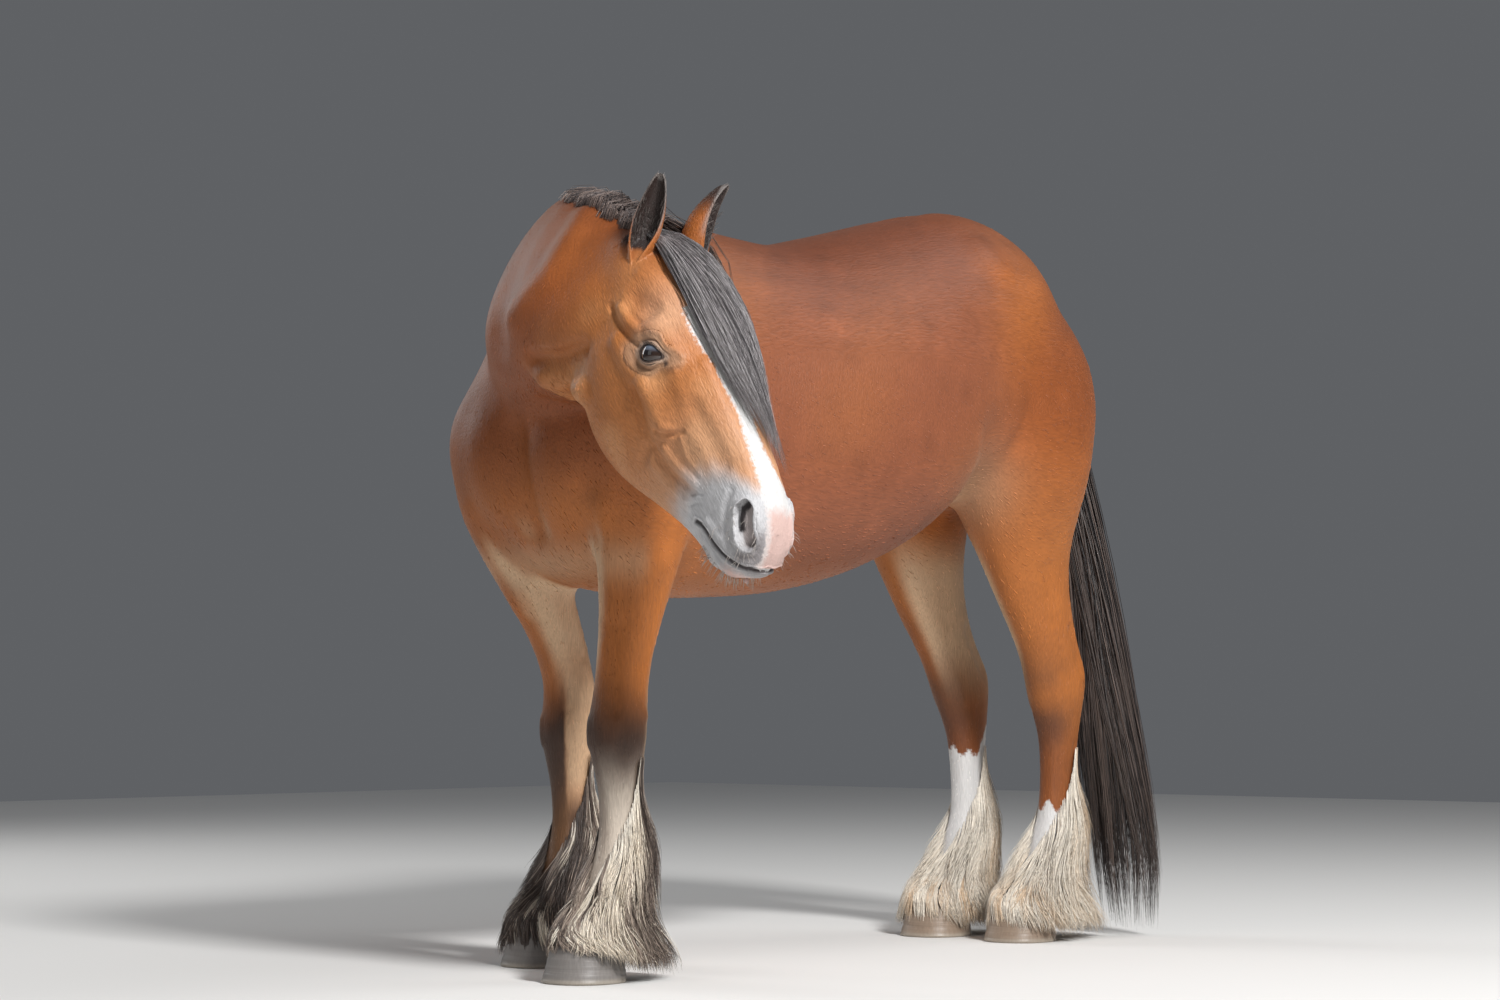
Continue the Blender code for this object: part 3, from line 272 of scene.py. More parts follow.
# White stripe of the face: its right and left edges at places down the head
STRIPE_RIGHT = (
    (0.17, 0.193, 0.220, 0.247, 0.276, 0.305, 0.330, 0.366, 0.416, 0.461, 0.504, 0.58),
    (-0.043, -0.047, -0.045, -0.040, -0.030, -0.027, -0.020, -0.014, -0.017, -0.019, -0.019, -0.018),
)
STRIPE_LEFT = ((0.17, 0.25, 0.32, 0.43, 0.47, 0.51, 0.58), (0.030, 0.020, 0.008, 0.004, 0.014, 0.026, 0.038))
# Ear: base in head places, the way each tip goes, and its size
EAR_BASE = (0.034, 0.056, 0.070)
EAR_LEAN = {"left": (-0.092, 0.050, 0.100), "right": (-0.098, 0.031, 0.102)}
EAR_LENGTH = 0.147
EAR_OPEN = {"left": (0.85, 0.50, 0.30), "right": (0.30, -0.85, 0.45)}
EAR_SHIFT = {"left": 0.006, "right": 0.003}
EAR_WIDE = {"left": 0.98, "right": 0.76}
# Ear: share of the length, half width, half of the angle it wraps round
EAR_STATIONS = (
    (-0.14, 0.013, 165), (0.00, 0.022, 150), (0.14, 0.029, 132), (0.34, 0.033, 112), (0.56, 0.031, 100),
    (0.76, 0.024, 92), (0.92, 0.0160, 90), (1.00, 0.0075, 90),
)
EAR_WALL = 0.0040
# Tail, in mm: the bone's path and thickness
DOCK = in_metres((
    (-690, 0, 1330, 40), (-760, 0, 1345, 40), (-815, 4, 1315, 36), (-850, 14, 1235, 31),
    (-868, 26, 1130, 26), (-880, 40, 1020, 20), (-886, 48, 960, 12),
))
# Outline of the tail's hair: forward, sideways, height, half depth, half width
TAIL_HAIR = in_metres((
    (-800, 2, 1335, 26, 34), (-845, 12, 1240, 36, 48), (-872, 30, 1080, 44, 60),
    (-888, 55, 900, 52, 72), (-900, 85, 700, 60, 84), (-912, 115, 480, 66, 92),
    (-920, 148, 270, 66, 100), (-922, 168, 110, 60, 100), (-922, 174, 10, 42, 84),
))
# Forelock, in mm: its middle line, down and left, its lift off the face and half width
FORELOCK_PATH = in_metres((
    (-15, -2, 2, 16), (50, -6, 6, 28), (110, 6, 6, 47), (180, 17, 6, 60), (250, 25, 6, 62),
    (300, 30, 6, 56), (360, 36, 6, 46), (430, 40, 4, 34), (490, 42, 2, 22),
))
# Mane: first and last of the crest's places, eight to a row of the neck
MANE_FIRST = 16
MANE_LAST = 60
# Feather: how far it reaches out from the leg, how high it ends in front, half sizes round the
# hoof, and for the fore legs the angle where it is light, how widely, and how light the rest is
FEATHER_BEHIND = {"fore": 0.165, "hind": 0.215}
FEATHER_AHEAD = 0.040
FEATHER_OUTER = 0.088
FEATHER_INNER = 0.050
FEATHER_FRONT_TIP = {"fore_left": 0.045, "fore_right": 0.012, "hind_left": 0.014, "hind_right": 0.016}
HOOF_CLEAR = (0.079, 0.071)
FEATHER_LIGHT = {"fore_left": (120, 50, 0.27), "fore_right": (-20, 40, 0.16)}
# Colours of forelock and horn, the forelock's grey a painted sheen on black hair, and the turn from lock to
# lock of the tail
FORELOCK_TINTS = ((0.085, 0.075, 0.078), (0.30, 0.275, 0.275), 0.25)
HORN_PALE = {"hind": (0.36, 0.27, 0.20), "fore": (0.27, 0.25, 0.235)}
GOLDEN_TURN = 2.39996
# Hair: how far it keeps inside the solids' box and off the floor
BOX_INSET = 0.0016
HAIR_OFF_FLOOR = 0.006
FEATHER_OFF_FLOOR = 0.005
# OFBake map: side of the patch of a strand or tuft, and how much room that leaves for roots
PATCH = 0.003
ROOT_ROOM = 0.994
# Values of the skin that its look and the tufts read
SKIN_VALUES = ("white", "pink", "on_head", "on_leg", "body_tufts", "face_tufts", "tuft_size")
SEED = 11


def through(table, per_span=4):
    """The rows of a table joined by smooth curves."""
    rows = np.array(table, float)
    rows = np.vstack([2 * rows[0] - rows[1], rows, 2 * rows[-1] - rows[-2]])
    out = []
    for i in range(1, len(rows) - 2):
        a, b, c, d = rows[i - 1 : i + 3]
        for t in np.arange(per_span) / per_span:
            bend = 2 * a - 5 * b + 4 * c - d
            twist = 3 * (b - c) + d - a
            out.append(0.5 * (2 * b + (c - a) * t + bend * t * t + twist * t**3))
    out.append(rows[-2])
    return np.array(out)


def oval(count, square_up=2.0, square_down=2.0):
    """Across and up shares of a closed outline, squarer for larger numbers."""
    turn = np.linspace(0, 2 * math.pi, count, endpoint=False)
    across, up = np.cos(turn), np.sin(turn)
    power = np.where(up > 0, 2 / square_up, 2 / square_down)
    return np.sign(across) * np.abs(across) ** power, np.sign(up) * np.abs(up) ** power


def unit(vectors):
    return vectors / np.maximum(np.linalg.norm(vectors, axis=-1, keepdims=True), 1e-9)


def eased(value, low, high):
    """0 below low, 1 above high, smooth between."""
    share = np.clip((np.asarray(value, float) - low) / (high - low), 0, 1)
    return share * share * (3 - 2 * share)


def head_axes():
    """Directions down the head, to its left and towards its face."""
    ahead, up = Vector((math.cos(HEAD_TURN), math.sin(HEAD_TURN), 0)), Vector((0, 0, 1))
    down = math.sin(HEAD_TILT) * ahead - math.cos(HEAD_TILT) * up
    face = math.cos(HEAD_TILT) * ahead + math.sin(HEAD_TILT) * up
    left = face.cross(down)
    turned = math.cos(HEAD_ROLL) * left + math.sin(HEAD_ROLL) * face
    face = math.cos(HEAD_ROLL) * face - math.sin(HEAD_ROLL) * left
    return np.array([down, turned, face]) * HEAD_SCALE


def head_place(place):
    """World place of a place given down, left and towards the face of the head."""
    return np.array(HEAD_START) + np.asarray(place, float) @ head_axes()


def in_head(points):
    """World places as places in the head."""
    return (points - np.array(HEAD_START)) @ head_axes().T / HEAD_SCALE**2


def on_side(line, side):
    """A line given for the left, mirrored where side is -1."""
    return [(x, side * y, z) for x, y, z in line]


def aside_of(places):
    """Head places with both sides of the head laid on its left."""
    return np.column_stack([places[:, 0], np.abs(places[:, 1]), places[:, 2]])


EYE_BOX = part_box("eye_left")
SHIFT = (np.array(EYE_BOX[0]) + np.array(EYE_BOX[1])) / 2 - head_place(EYE)
SHIFT[2] = 0.0


# Making and changing meshes

def mesh_object(name, points, faces):
    """A new object from points and faces, its faces turned outwards."""
    mesh = bpy.data.meshes.new(name)
    mesh.from_pydata([tuple(p) for p in points], [], faces)
    shape = bmesh.new()
    shape.from_mesh(mesh)
    bmesh.ops.recalc_face_normals(shape, faces=shape.faces)
    shape.to_mesh(mesh)
    shape.free()
    piece = bpy.data.objects.new(name, mesh)
    bpy.context.scene.collection.objects.link(piece)
    return piece


def ring_mesh(rings):
    """Points and faces of a closed body through rings of the same number of points."""
    rings = np.asarray(rings, float)
    count, around = rings.shape[:2]
    points = rings.reshape(-1, 3).tolist()
    faces = []
    for i in range(count - 1):
        for j in range(around):
            k = (j + 1) % around
            low, high = i * around, (i + 1) * around
            faces.append((low + j, low + k, high + k, high + j))
    for row in (0, count - 1):
        points.append(rings[row].mean(axis=0).tolist())
        hub = len(points) - 1
        for j in range(around):
            faces.append((hub, row * around + j, row * around + (j + 1) % around))
    return points, faces


def loft(name, rings):
    return mesh_object(name, *ring_mesh(rings))


def evaluated(piece):
    """Gives an object the mesh that its modifiers make, and drops them."""
    graph = bpy.context.evaluated_depsgraph_get()
    mesh = bpy.data.meshes.new_from_object(piece.evaluated_get(graph))
    piece.modifiers.clear()
    old = piece.data
    piece.data = mesh
    bpy.data.meshes.remove(old)
    return piece


def joined(name, pieces):
    """One object that holds the loose meshes of several."""
    points, faces = [], []
    for piece in pieces:
        start = len(points)
        points += [v.co[:] for v in piece.data.vertices]
        faces += [tuple(start + i for i in p.vertices) for p in piece.data.polygons]
        bpy.data.objects.remove(piece, do_unlink=True)
    return mesh_object(name, points, faces)


def fused(piece, parts):
    """One union of a piece with many closed meshes."""
    group = bpy.data.collections.new("parts")
    bpy.context.scene.collection.children.link(group)
    for part in parts:
        bpy.context.scene.collection.objects.unlink(part)
        group.objects.link(part)
    modifier = piece.modifiers.new("union", "BOOLEAN")
    modifier.operation = "UNION"
    modifier.solver = "MANIFOLD"
    modifier.operand_type = "COLLECTION"
    modifier.collection = group
    evaluated(piece)
    for part in list(group.objects):
        bpy.data.objects.remove(part, do_unlink=True)
    bpy.data.collections.remove(group)
    return piece


def points_of(mesh):
    points = np.empty(len(mesh.vertices) * 3)
    mesh.vertices.foreach_get("co", points)
    return points.reshape(-1, 3)


def normals_of(mesh):
    normals = np.empty(len(mesh.vertices) * 3)
    mesh.vertex_normals.foreach_get("vector", normals)
    return normals.reshape(-1, 3)


def set_points(mesh, points):
    mesh.vertices.foreach_set("co", points.ravel())
    mesh.update()


def smooth(piece, rounds, share):
    """Evens a mesh out, at each place by its share."""
    mesh = piece.data
    points = points_of(mesh)
    edges = np.empty(len(mesh.edges) * 2, int)
    mesh.edges.foreach_get("vertices", edges)
    a, b = edges.reshape(-1, 2).T
    count = np.bincount(a, minlength=len(points)) + np.bincount(b, minlength=len(points))
    part = share(points)[:, None]
    for _ in range(rounds):
        total = np.zeros_like(points)
        for axis in range(3):
            total[:, axis] = np.bincount(a, points[b, axis], len(points))
            total[:, axis] += np.bincount(b, points[a, axis], len(points))
        points += part * (total / count[:, None] - points)
    set_points(mesh, points)


def refined(piece, wanted):
    """Halves the edges of the faces whose middle is where wanted says."""
    shape = bmesh.new()
    shape.from_mesh(piece.data)
    middles = np.array([f.calc_center_median()[:] for f in shape.faces])
    chosen = wanted(middles)
    shape.faces.ensure_lookup_table()
    edges = {edge for index in np.flatnonzero(chosen) for edge in shape.faces[index].edges}
    bmesh.ops.subdivide_edges(shape, edges=list(edges), cuts=1, use_grid_fill=True)
    shape.to_mesh(piece.data)
    shape.free()


def to_line(points, line):
    """How far each point is from a line of straight spans."""
    line = np.asarray(line, float)
    if len(line) == 1:
        return np.linalg.norm(points - line[0], axis=1)
    best = np.full(len(points), 9.0)
    for a, b in zip(line[:-1], line[1:]):
        span = b - a
        along = np.clip((points - a) @ span / (span @ span), 0, 1)
        best = np.minimum(best, np.linalg.norm(points - a - along[:, None] * span, axis=1))
    return best


def stroke(line, radius, height):
    """A ridge, or a groove where height is below 0, along a line."""

    def move(points, normals):
        share = np.clip(1 - (to_line(points, line) / radius) ** 2, 0, 1) ** 2
        return points + normals * (height * share)[:, None]

    return move


def sculpted(piece, moves):
    """Moves a mesh's points, one stroke after another."""
    for move in moves:
        set_points(piece.data, move(points_of(piece.data), normals_of(piece.data)))


# The forms of the flesh

def trunk():
    across, up = oval(40, 2.15, 2.2)
    rings = []
    for x, top, bottom, wide, middle in through(TRUNK):
        height = np.where(up > 0, top - middle, middle - bottom) * up
        rings.append(np.column_stack([np.full_like(up, x), wide * across, middle + height]))
    return loft("trunk", rings)


def limb_rows(leg):
    """Height, middle and half sizes of a leg, from top to floor."""
    kind, word = leg.split("_")
    rows = through(LIMBS[kind], 3)
    rows[:, 1] -= STEP_BACK[leg] * eased(0.86 - rows[:, 0], 0.0, 0.38)
    rows[:, 2] *= SIDES[word]
    return rows


def limb(leg):
    along, across = oval(24, 2.2, 2.2)
    rings = []
    for z, x, y, long, wide in limb_rows(leg):
        rings.append(np.column_stack([x + long * along, y + wide * across, np.full_like(along, z)]))
    return loft(leg, rings)


def neck():
    across, up = oval(32, 1.45, 2.1)
    rows = through(NECK)
    way = np.gradient(rows[:, :2], axis=0)
    rings = []
    for (x, y, top, bottom, wide), (dx, dy) in zip(rows, way):
        size = math.hypot(dx, dy)
        side = np.array([-dy / size, dx / size, 0])
        middle = bottom + (top - bottom) * NECK_WIDEST
        ring = np.array([x, y, middle]) + wide * across[:, None] * side
        ring[:, 2] += np.where(up > 0, top - middle, middle - bottom) * up
        rings.append(ring)
    return loft("neck_flesh", rings)


def head_flesh():
    across, up = oval(36, 2.5, 2.3)
    rings = []
    for x, face, jaw, upper, lower in through(HEAD):
        middle = (face + jaw) / 2 + FACE_RISE
        wide = lower + (upper - lower) * eased(up, -1, 1)
        height = np.where(up > 0, face - middle, middle - jaw) * up
        rings.append(head_place(np.column_stack([np.full_like(up, x), wide * across, middle + height])))
    return loft("head_flesh", rings)


def eye_axes(side):
    """In head places: out of the eye, along the lids and across them."""
    out = unit(np.array([-0.04, side * 1.0, 0.22]))
    along = np.array([math.cos(EYE_SLANT), 0.0, math.sin(EYE_SLANT)])
    along = unit(along - (along @ out) * out)
    over = np.cross(along, out) * side
    over = over if over[0] < 0 else -over
    return out, along, unit(over)


def eye_middle(side):
    """Middle of the eyeball in head places, a little deeper than in the solids."""
    return np.array([EYE[0], side * (EYE[1] - EYE_DEEPER), EYE[2]])


def lid_height(along, over):
    """Height of the eye's opening at places along it, narrower towards its front corner."""
    tall = np.where(over > 0, EYE_TALL, EYE_TALL * LOWER_LID)
    return tall * (1 - 0.42 * eased(along / EYE_LONG, 0.15, 1.15))


def eye_ring(places, side):
    """Around an eye: share of the opening's edge reached, angle, and which places are near."""
    centre = eye_middle(side)
    out, along_way, over_way = eye_axes(side)
    off = places - centre
    along, over = off @ along_way, off @ over_way
    tall = lid_height(along, over)
    ring = np.sqrt((along / EYE_LONG) ** 2 + (over / tall) ** 2)
    near = (off @ out > -0.002) & (np.linalg.norm(off, axis=1) < 0.08)
    return ring, np.arctan2(over / tall, along / EYE_LONG), near


def eye_folds(side):
    """Folds of skin over the upper lid and the bag under the lower one."""

    def move(points, normals):
        ring, turn, near = eye_ring(in_head(points), side)
        upper, lower = np.sin(turn).clip(0, 1), (-np.sin(turn)).clip(0, 1)
        height = np.zeros(len(points))
        for place, width, above, below in EYE_FOLDS:
            height += np.exp(-(((ring - place) / width) ** 2)) * (above * upper + below * lower)
        return points + normals * (height * near)[:, None]

    return move


def pit(line, radius, deep, way):
    """Pushes a hollow that follows a line into the head, along the way given."""
    way = unit(np.array(way, float)) * deep

    def move(points, normals):
        places = in_head(points)
        share = eased(1.15 - to_line(places, line) / radius, 0, 0.55)
        return head_place(places + share[:, None] * way)

    return move


def eye_socket(side):
    """Pushes the skin inside the lids behind the eyeball and rounds the lids over it."""
    centre = eye_middle(side)
    inside, lid = EYE_RADIUS - 0.006, EYE_RADIUS + 0.0026

    def move(points, normals):
        places = in_head(points)
        off = places - centre
        far = np.linalg.norm(off, axis=1)
        ring, _, near = eye_ring(places, side)
        target = inside + (lid - inside) * np.clip((ring - 0.90) / 0.22, 0, 1)
        new_far = far + (target - far) * np.clip((2.5 - ring) / 1.3, 0, 1)
        new_far = np.where(ring > 1.10, np.maximum(new_far, np.minimum(far, lid)), new_far)
        scale = np.where(near & (ring < 2.5), new_far / np.maximum(far, 1e-6), 1.0)
        return head_place(centre + off * scale[:, None])

    return move


def lids(side):
    """The rims of both lids as one closed ring that hugs the eyeball."""
    centre = eye_middle(side)
    out, along_way, over_way = eye_axes(side)
    around, thick_around = 96, 12
    turn = np.linspace(0, 2 * math.pi, around, endpoint=False)
    tall = lid_height(EYE_LONG * np.cos(turn), np.sin(turn))
    rings = []
    for t, high in zip(turn, tall):
        upper = max(0.0, math.sin(t))
        flat = EYE_LONG * math.cos(t) * along_way + high * math.sin(t) * over_way
        spoke = unit(flat)
        thick, broad = 0.0014 + 0.0014 * upper, 0.0019 + 0.0011 * upper
        ring = []
        for s in np.linspace(0, 2 * math.pi, thick_around, endpoint=False):
            place = flat + spoke * (broad * 0.75 + broad * math.cos(s))
            depth = math.sqrt(max(EYE_RADIUS**2 - place @ place, 0.00004))
            ring.append(centre + place + out * (depth + 0.0008 + thick * math.sin(s)))
        rings.append(ring)
    here, ahead = np.arange(around)[:, None] * thick_around, np.arange(thick_around)
    there, beside = np.roll(here, -1, axis=0), np.roll(ahead, -1)
    faces = np.stack([here + ahead, here + beside, there + beside, there + ahead], axis=-1)
    return mesh_object("lids", head_place(np.array(rings)).reshape(-1, 3), faces.reshape(-1, 4).tolist())


def head_strokes():
    """The forms of the face, in head places, on both sides."""
    forms = [(in_metres(line), radius / 1000, height / 1000) for line, radius, height in FACE_FORMS]
    forms += [(MOUTH, 0.0080, -0.0062), (MOUTH, 0.0036, -0.0045)]
    for s in (0.0, 0.012, 0.024):
        back = np.array((-s, 0, s))
        crease = back + [(0.450, 0.047, -0.078), (0.457, 0.052, -0.060), (0.470, 0.054, -0.046)]
        wrinkle = back * (1, 0, 0.6) + [(0.560, 0.032, 0.050), (0.566, 0.012, 0.054)]
        forms += [(crease, 0.0055, -0.0018), (wrinkle, 0.0050, -0.0011)]
    moves = []
    for line, radius, height in forms:
        for side in (1, -1):
            moves.append(stroke(head_place(on_side(line, side)), radius * HEAD_SCALE, height * HEAD_SCALE))
    for side in (1, -1):
        moves.append(pit(on_side(NOSTRIL, side), 0.0150, 0.010, (-0.35, -side * 0.9, -0.10)))
        moves.append(pit(on_side(NOSTRIL_DARK, side), 0.0085, 0.014, (-0.55, -side * 0.8, 0.0)))
        moves += [eye_socket(side), eye_folds(side)]
    return moves


def body_strokes():
    """Folds at the throat, then the muscles and hollows of neck, trunk and shoulders."""
    moves = []
    for line, radius, height in THROAT_FOLDS:
        moves.append(stroke(head_place(in_metres(line)), radius / 1000, height / 1000))
    for sides, line, radius, height in BODY_FORMS:
        for side in (1, -1)[:sides]:
            moves.append(stroke(on_side(in_metres(line), side), radius / 1000, height / 1000))
    return moves


def leg_strokes():
    """Knees, hocks, tendons and fetlocks."""
    moves = []
    for leg in STEP_BACK:
        kind, word = leg.split("_")
        rows = limb_rows(leg)[::-1]

        def at(height, along, aside):
            x, y, long, wide = (np.interp(height, rows[:, 0], rows[:, c]) for c in range(1, 5))
            return (x + along * long, y + SIDES[word] * aside * wide, height)

        for turn in (1, -1):
            for line, radius, height in LEG_FORMS[kind]:
                places = [at(z, along, turn * aside) for z, along, aside in line]
                moves.append(stroke(places, radius, height))
        for line, radius, height in LEG_FORMS_ONCE[kind]:
            moves.append(stroke([at(*place) for place in line], radius, height))
    return moves


def ear_frame(word):
    """An ear's base, the way of its tip, the way it opens and the way across, in head places."""
    base = np.array([EAR_BASE[0], SIDES[word] * EAR_BASE[1] + EAR_SHIFT[word], EAR_BASE[2]])
    lean, opening = unit(np.array(EAR_LEAN[word])), np.array(EAR_OPEN[word])
    opening = unit(opening - (opening @ lean) * lean)
    return base, lean, opening, np.cross(lean, opening)


def ear(word):
    """A cupped ear, thin walled, open to the front and side."""
    base, lean, opening, side_way = ear_frame(word)
    rings = []
    for share, radius, wrap in through(EAR_STATIONS, 4):
        radius = radius * EAR_WIDE[word]
        turn = np.radians(np.linspace(-wrap, wrap, 25))
        wall = min(EAR_WALL, radius * 0.6)
        edge = 1 - 0.35 * np.abs(np.linspace(-1, 1, 25)) ** 8
        tip_bend = 0.010 * max(share, 0) ** 3
        centre = base + lean * (share * EAR_LENGTH / HEAD_SCALE) + opening * tip_bend
        spokes = np.cos(turn)[:, None] * opening - np.sin(turn)[:, None] * side_way
        outer, inner = centre - radius * spokes, centre - (radius - wall * edge[:, None]) * spokes
        rings.append(head_place(np.vstack([outer, inner[::-1]])))
    return loft("ear", rings)


def skin_smoothing(points):
    """Much smoothing where limbs join the trunk, little on the head and lower legs."""
    share = 0.5 * np.clip((points[:, 2] - 0.35) / 0.35, 0.12, 1)
    places = in_head(points)
    on_head = eased(places[:, 0], 0.0, 0.14) * (places[:, 2] > -0.30)
    return share * (1 - 0.80 * on_head)


def near_head(points, low):
    places = in_head(points)
    return (places[:, 0] > low) & (np.abs(places[:, 1]) < 0.14) & (np.abs(places[:, 2]) < 0.24)


def near_face_forms(middles):
    """Where the face has small forms: eyes, creases, nostrils and mouth."""
    places = in_head(middles)
    aside = aside_of(places)
    muzzle = (places[:, 0] > 0.44) & (places[:, 0] < 0.63) & (aside[:, 1] < 0.09)
    crest = to_line(aside, [(0.10, 0.092, 0.01), (0.21, 0.092, 0.040)]) < 0.040
    crest |= to_line(aside, [(0.24, 0.095, 0.0), (0.34, 0.075, -0.03), (0.44, 0.055, -0.06)]) < 0.042
    return (muzzle | crest) & (np.abs(places[:, 2]) < 0.16)


def near_openings(middles):
    """The lids, nostrils and the line of the mouth."""
    places = in_head(middles)
    aside = aside_of(places)
    eye = np.zeros(len(places), bool)
    for side in (1, -1):
        ring, _, near = eye_ring(places, side)
        eye |= near & (ring < 2.4)
    return eye | (to_line(aside, NOSTRIL) < 0.019) | (to_line(aside, MOUTH) < 0.009)


def low_on_leg(middles):
    return (middles[:, 2] < 0.60) & (middles[:, 2] > 0.10)


# Colours and markings, the same on skin and tufts

BAY = np.array([0.300, 0.082, 0.018])
BAY_LIGHT = np.array([0.440, 0.150, 0.030])
BAY_RED = np.array([0.200, 0.066, 0.034])
BAY_DEEP = np.array([0.120, 0.030, 0.011])
PALE = np.array([0.620, 0.430, 0.270])
BLACK_BROWN = np.array([0.040, 0.024, 0.018])
MUZZLE_GREY = np.array([0.490, 0.485, 0.495])
LID_DARK = np.array([0.045, 0.030, 0.026])
# Muzzle's grey: heights over the head's axis, and how far down the head it starts there
GREY_EDGE = ((-0.10, -0.03, 0.00, 0.03, 0.053, 0.069), (0.415, 0.405, 0.414, 0.431, 0.462, 0.500))
# Makes distances to the side count less where lines are painted on the muzzle
NO_DEPTH = np.array((1, 0.2, 1))


def wavy(points, scale, seed):
    """A soft, repeatable wave over space, from -1 to 1."""
    random = np.random.default_rng(seed)
    total = np.zeros(len(points))
    for _ in range(5):
        way = unit(random.normal(size=3)) * scale * random.uniform(0.6, 1.5)
        total += np.sin(points @ way * 2 * math.pi + random.uniform(0, 6.3))
    return total / 5 * 1.5


def mixed(colours, other, share):
    return colours + (np.asarray(other) - colours) * np.asarray(share)[:, None]


def white_edge(points):
    """How far inside a white marking each point is, below 0 outside."""
    places = in_head(points)
    right = np.interp(places[:, 0], *STRIPE_RIGHT)
    left = np.interp(places[:, 0], *STRIPE_LEFT)
    stripe = np.minimum(places[:, 1] - right, left - places[:, 1])
    stripe = np.minimum(stripe, (places[:, 0] - 0.172) * 0.8)
    on_head = (places[:, 0] > 0.05) & (places[:, 2] > -0.02) & (np.abs(places[:, 1]) < 0.12)
    value = np.where(on_head, stripe, -0.05)
    behind = (points[:, 0] < -0.3) & (points[:, 2] < 0.55)
    top = np.where(points[:, 1] < 0, 0.380, 0.270) + 0.012 * wavy(points * (1, 1, 0.1), 26, 3)
    top = top + 0.060 * eased(-points[:, 0], 0.755, 0.80)
    return np.where(behind, (top - points[:, 2]) * 0.7, value)


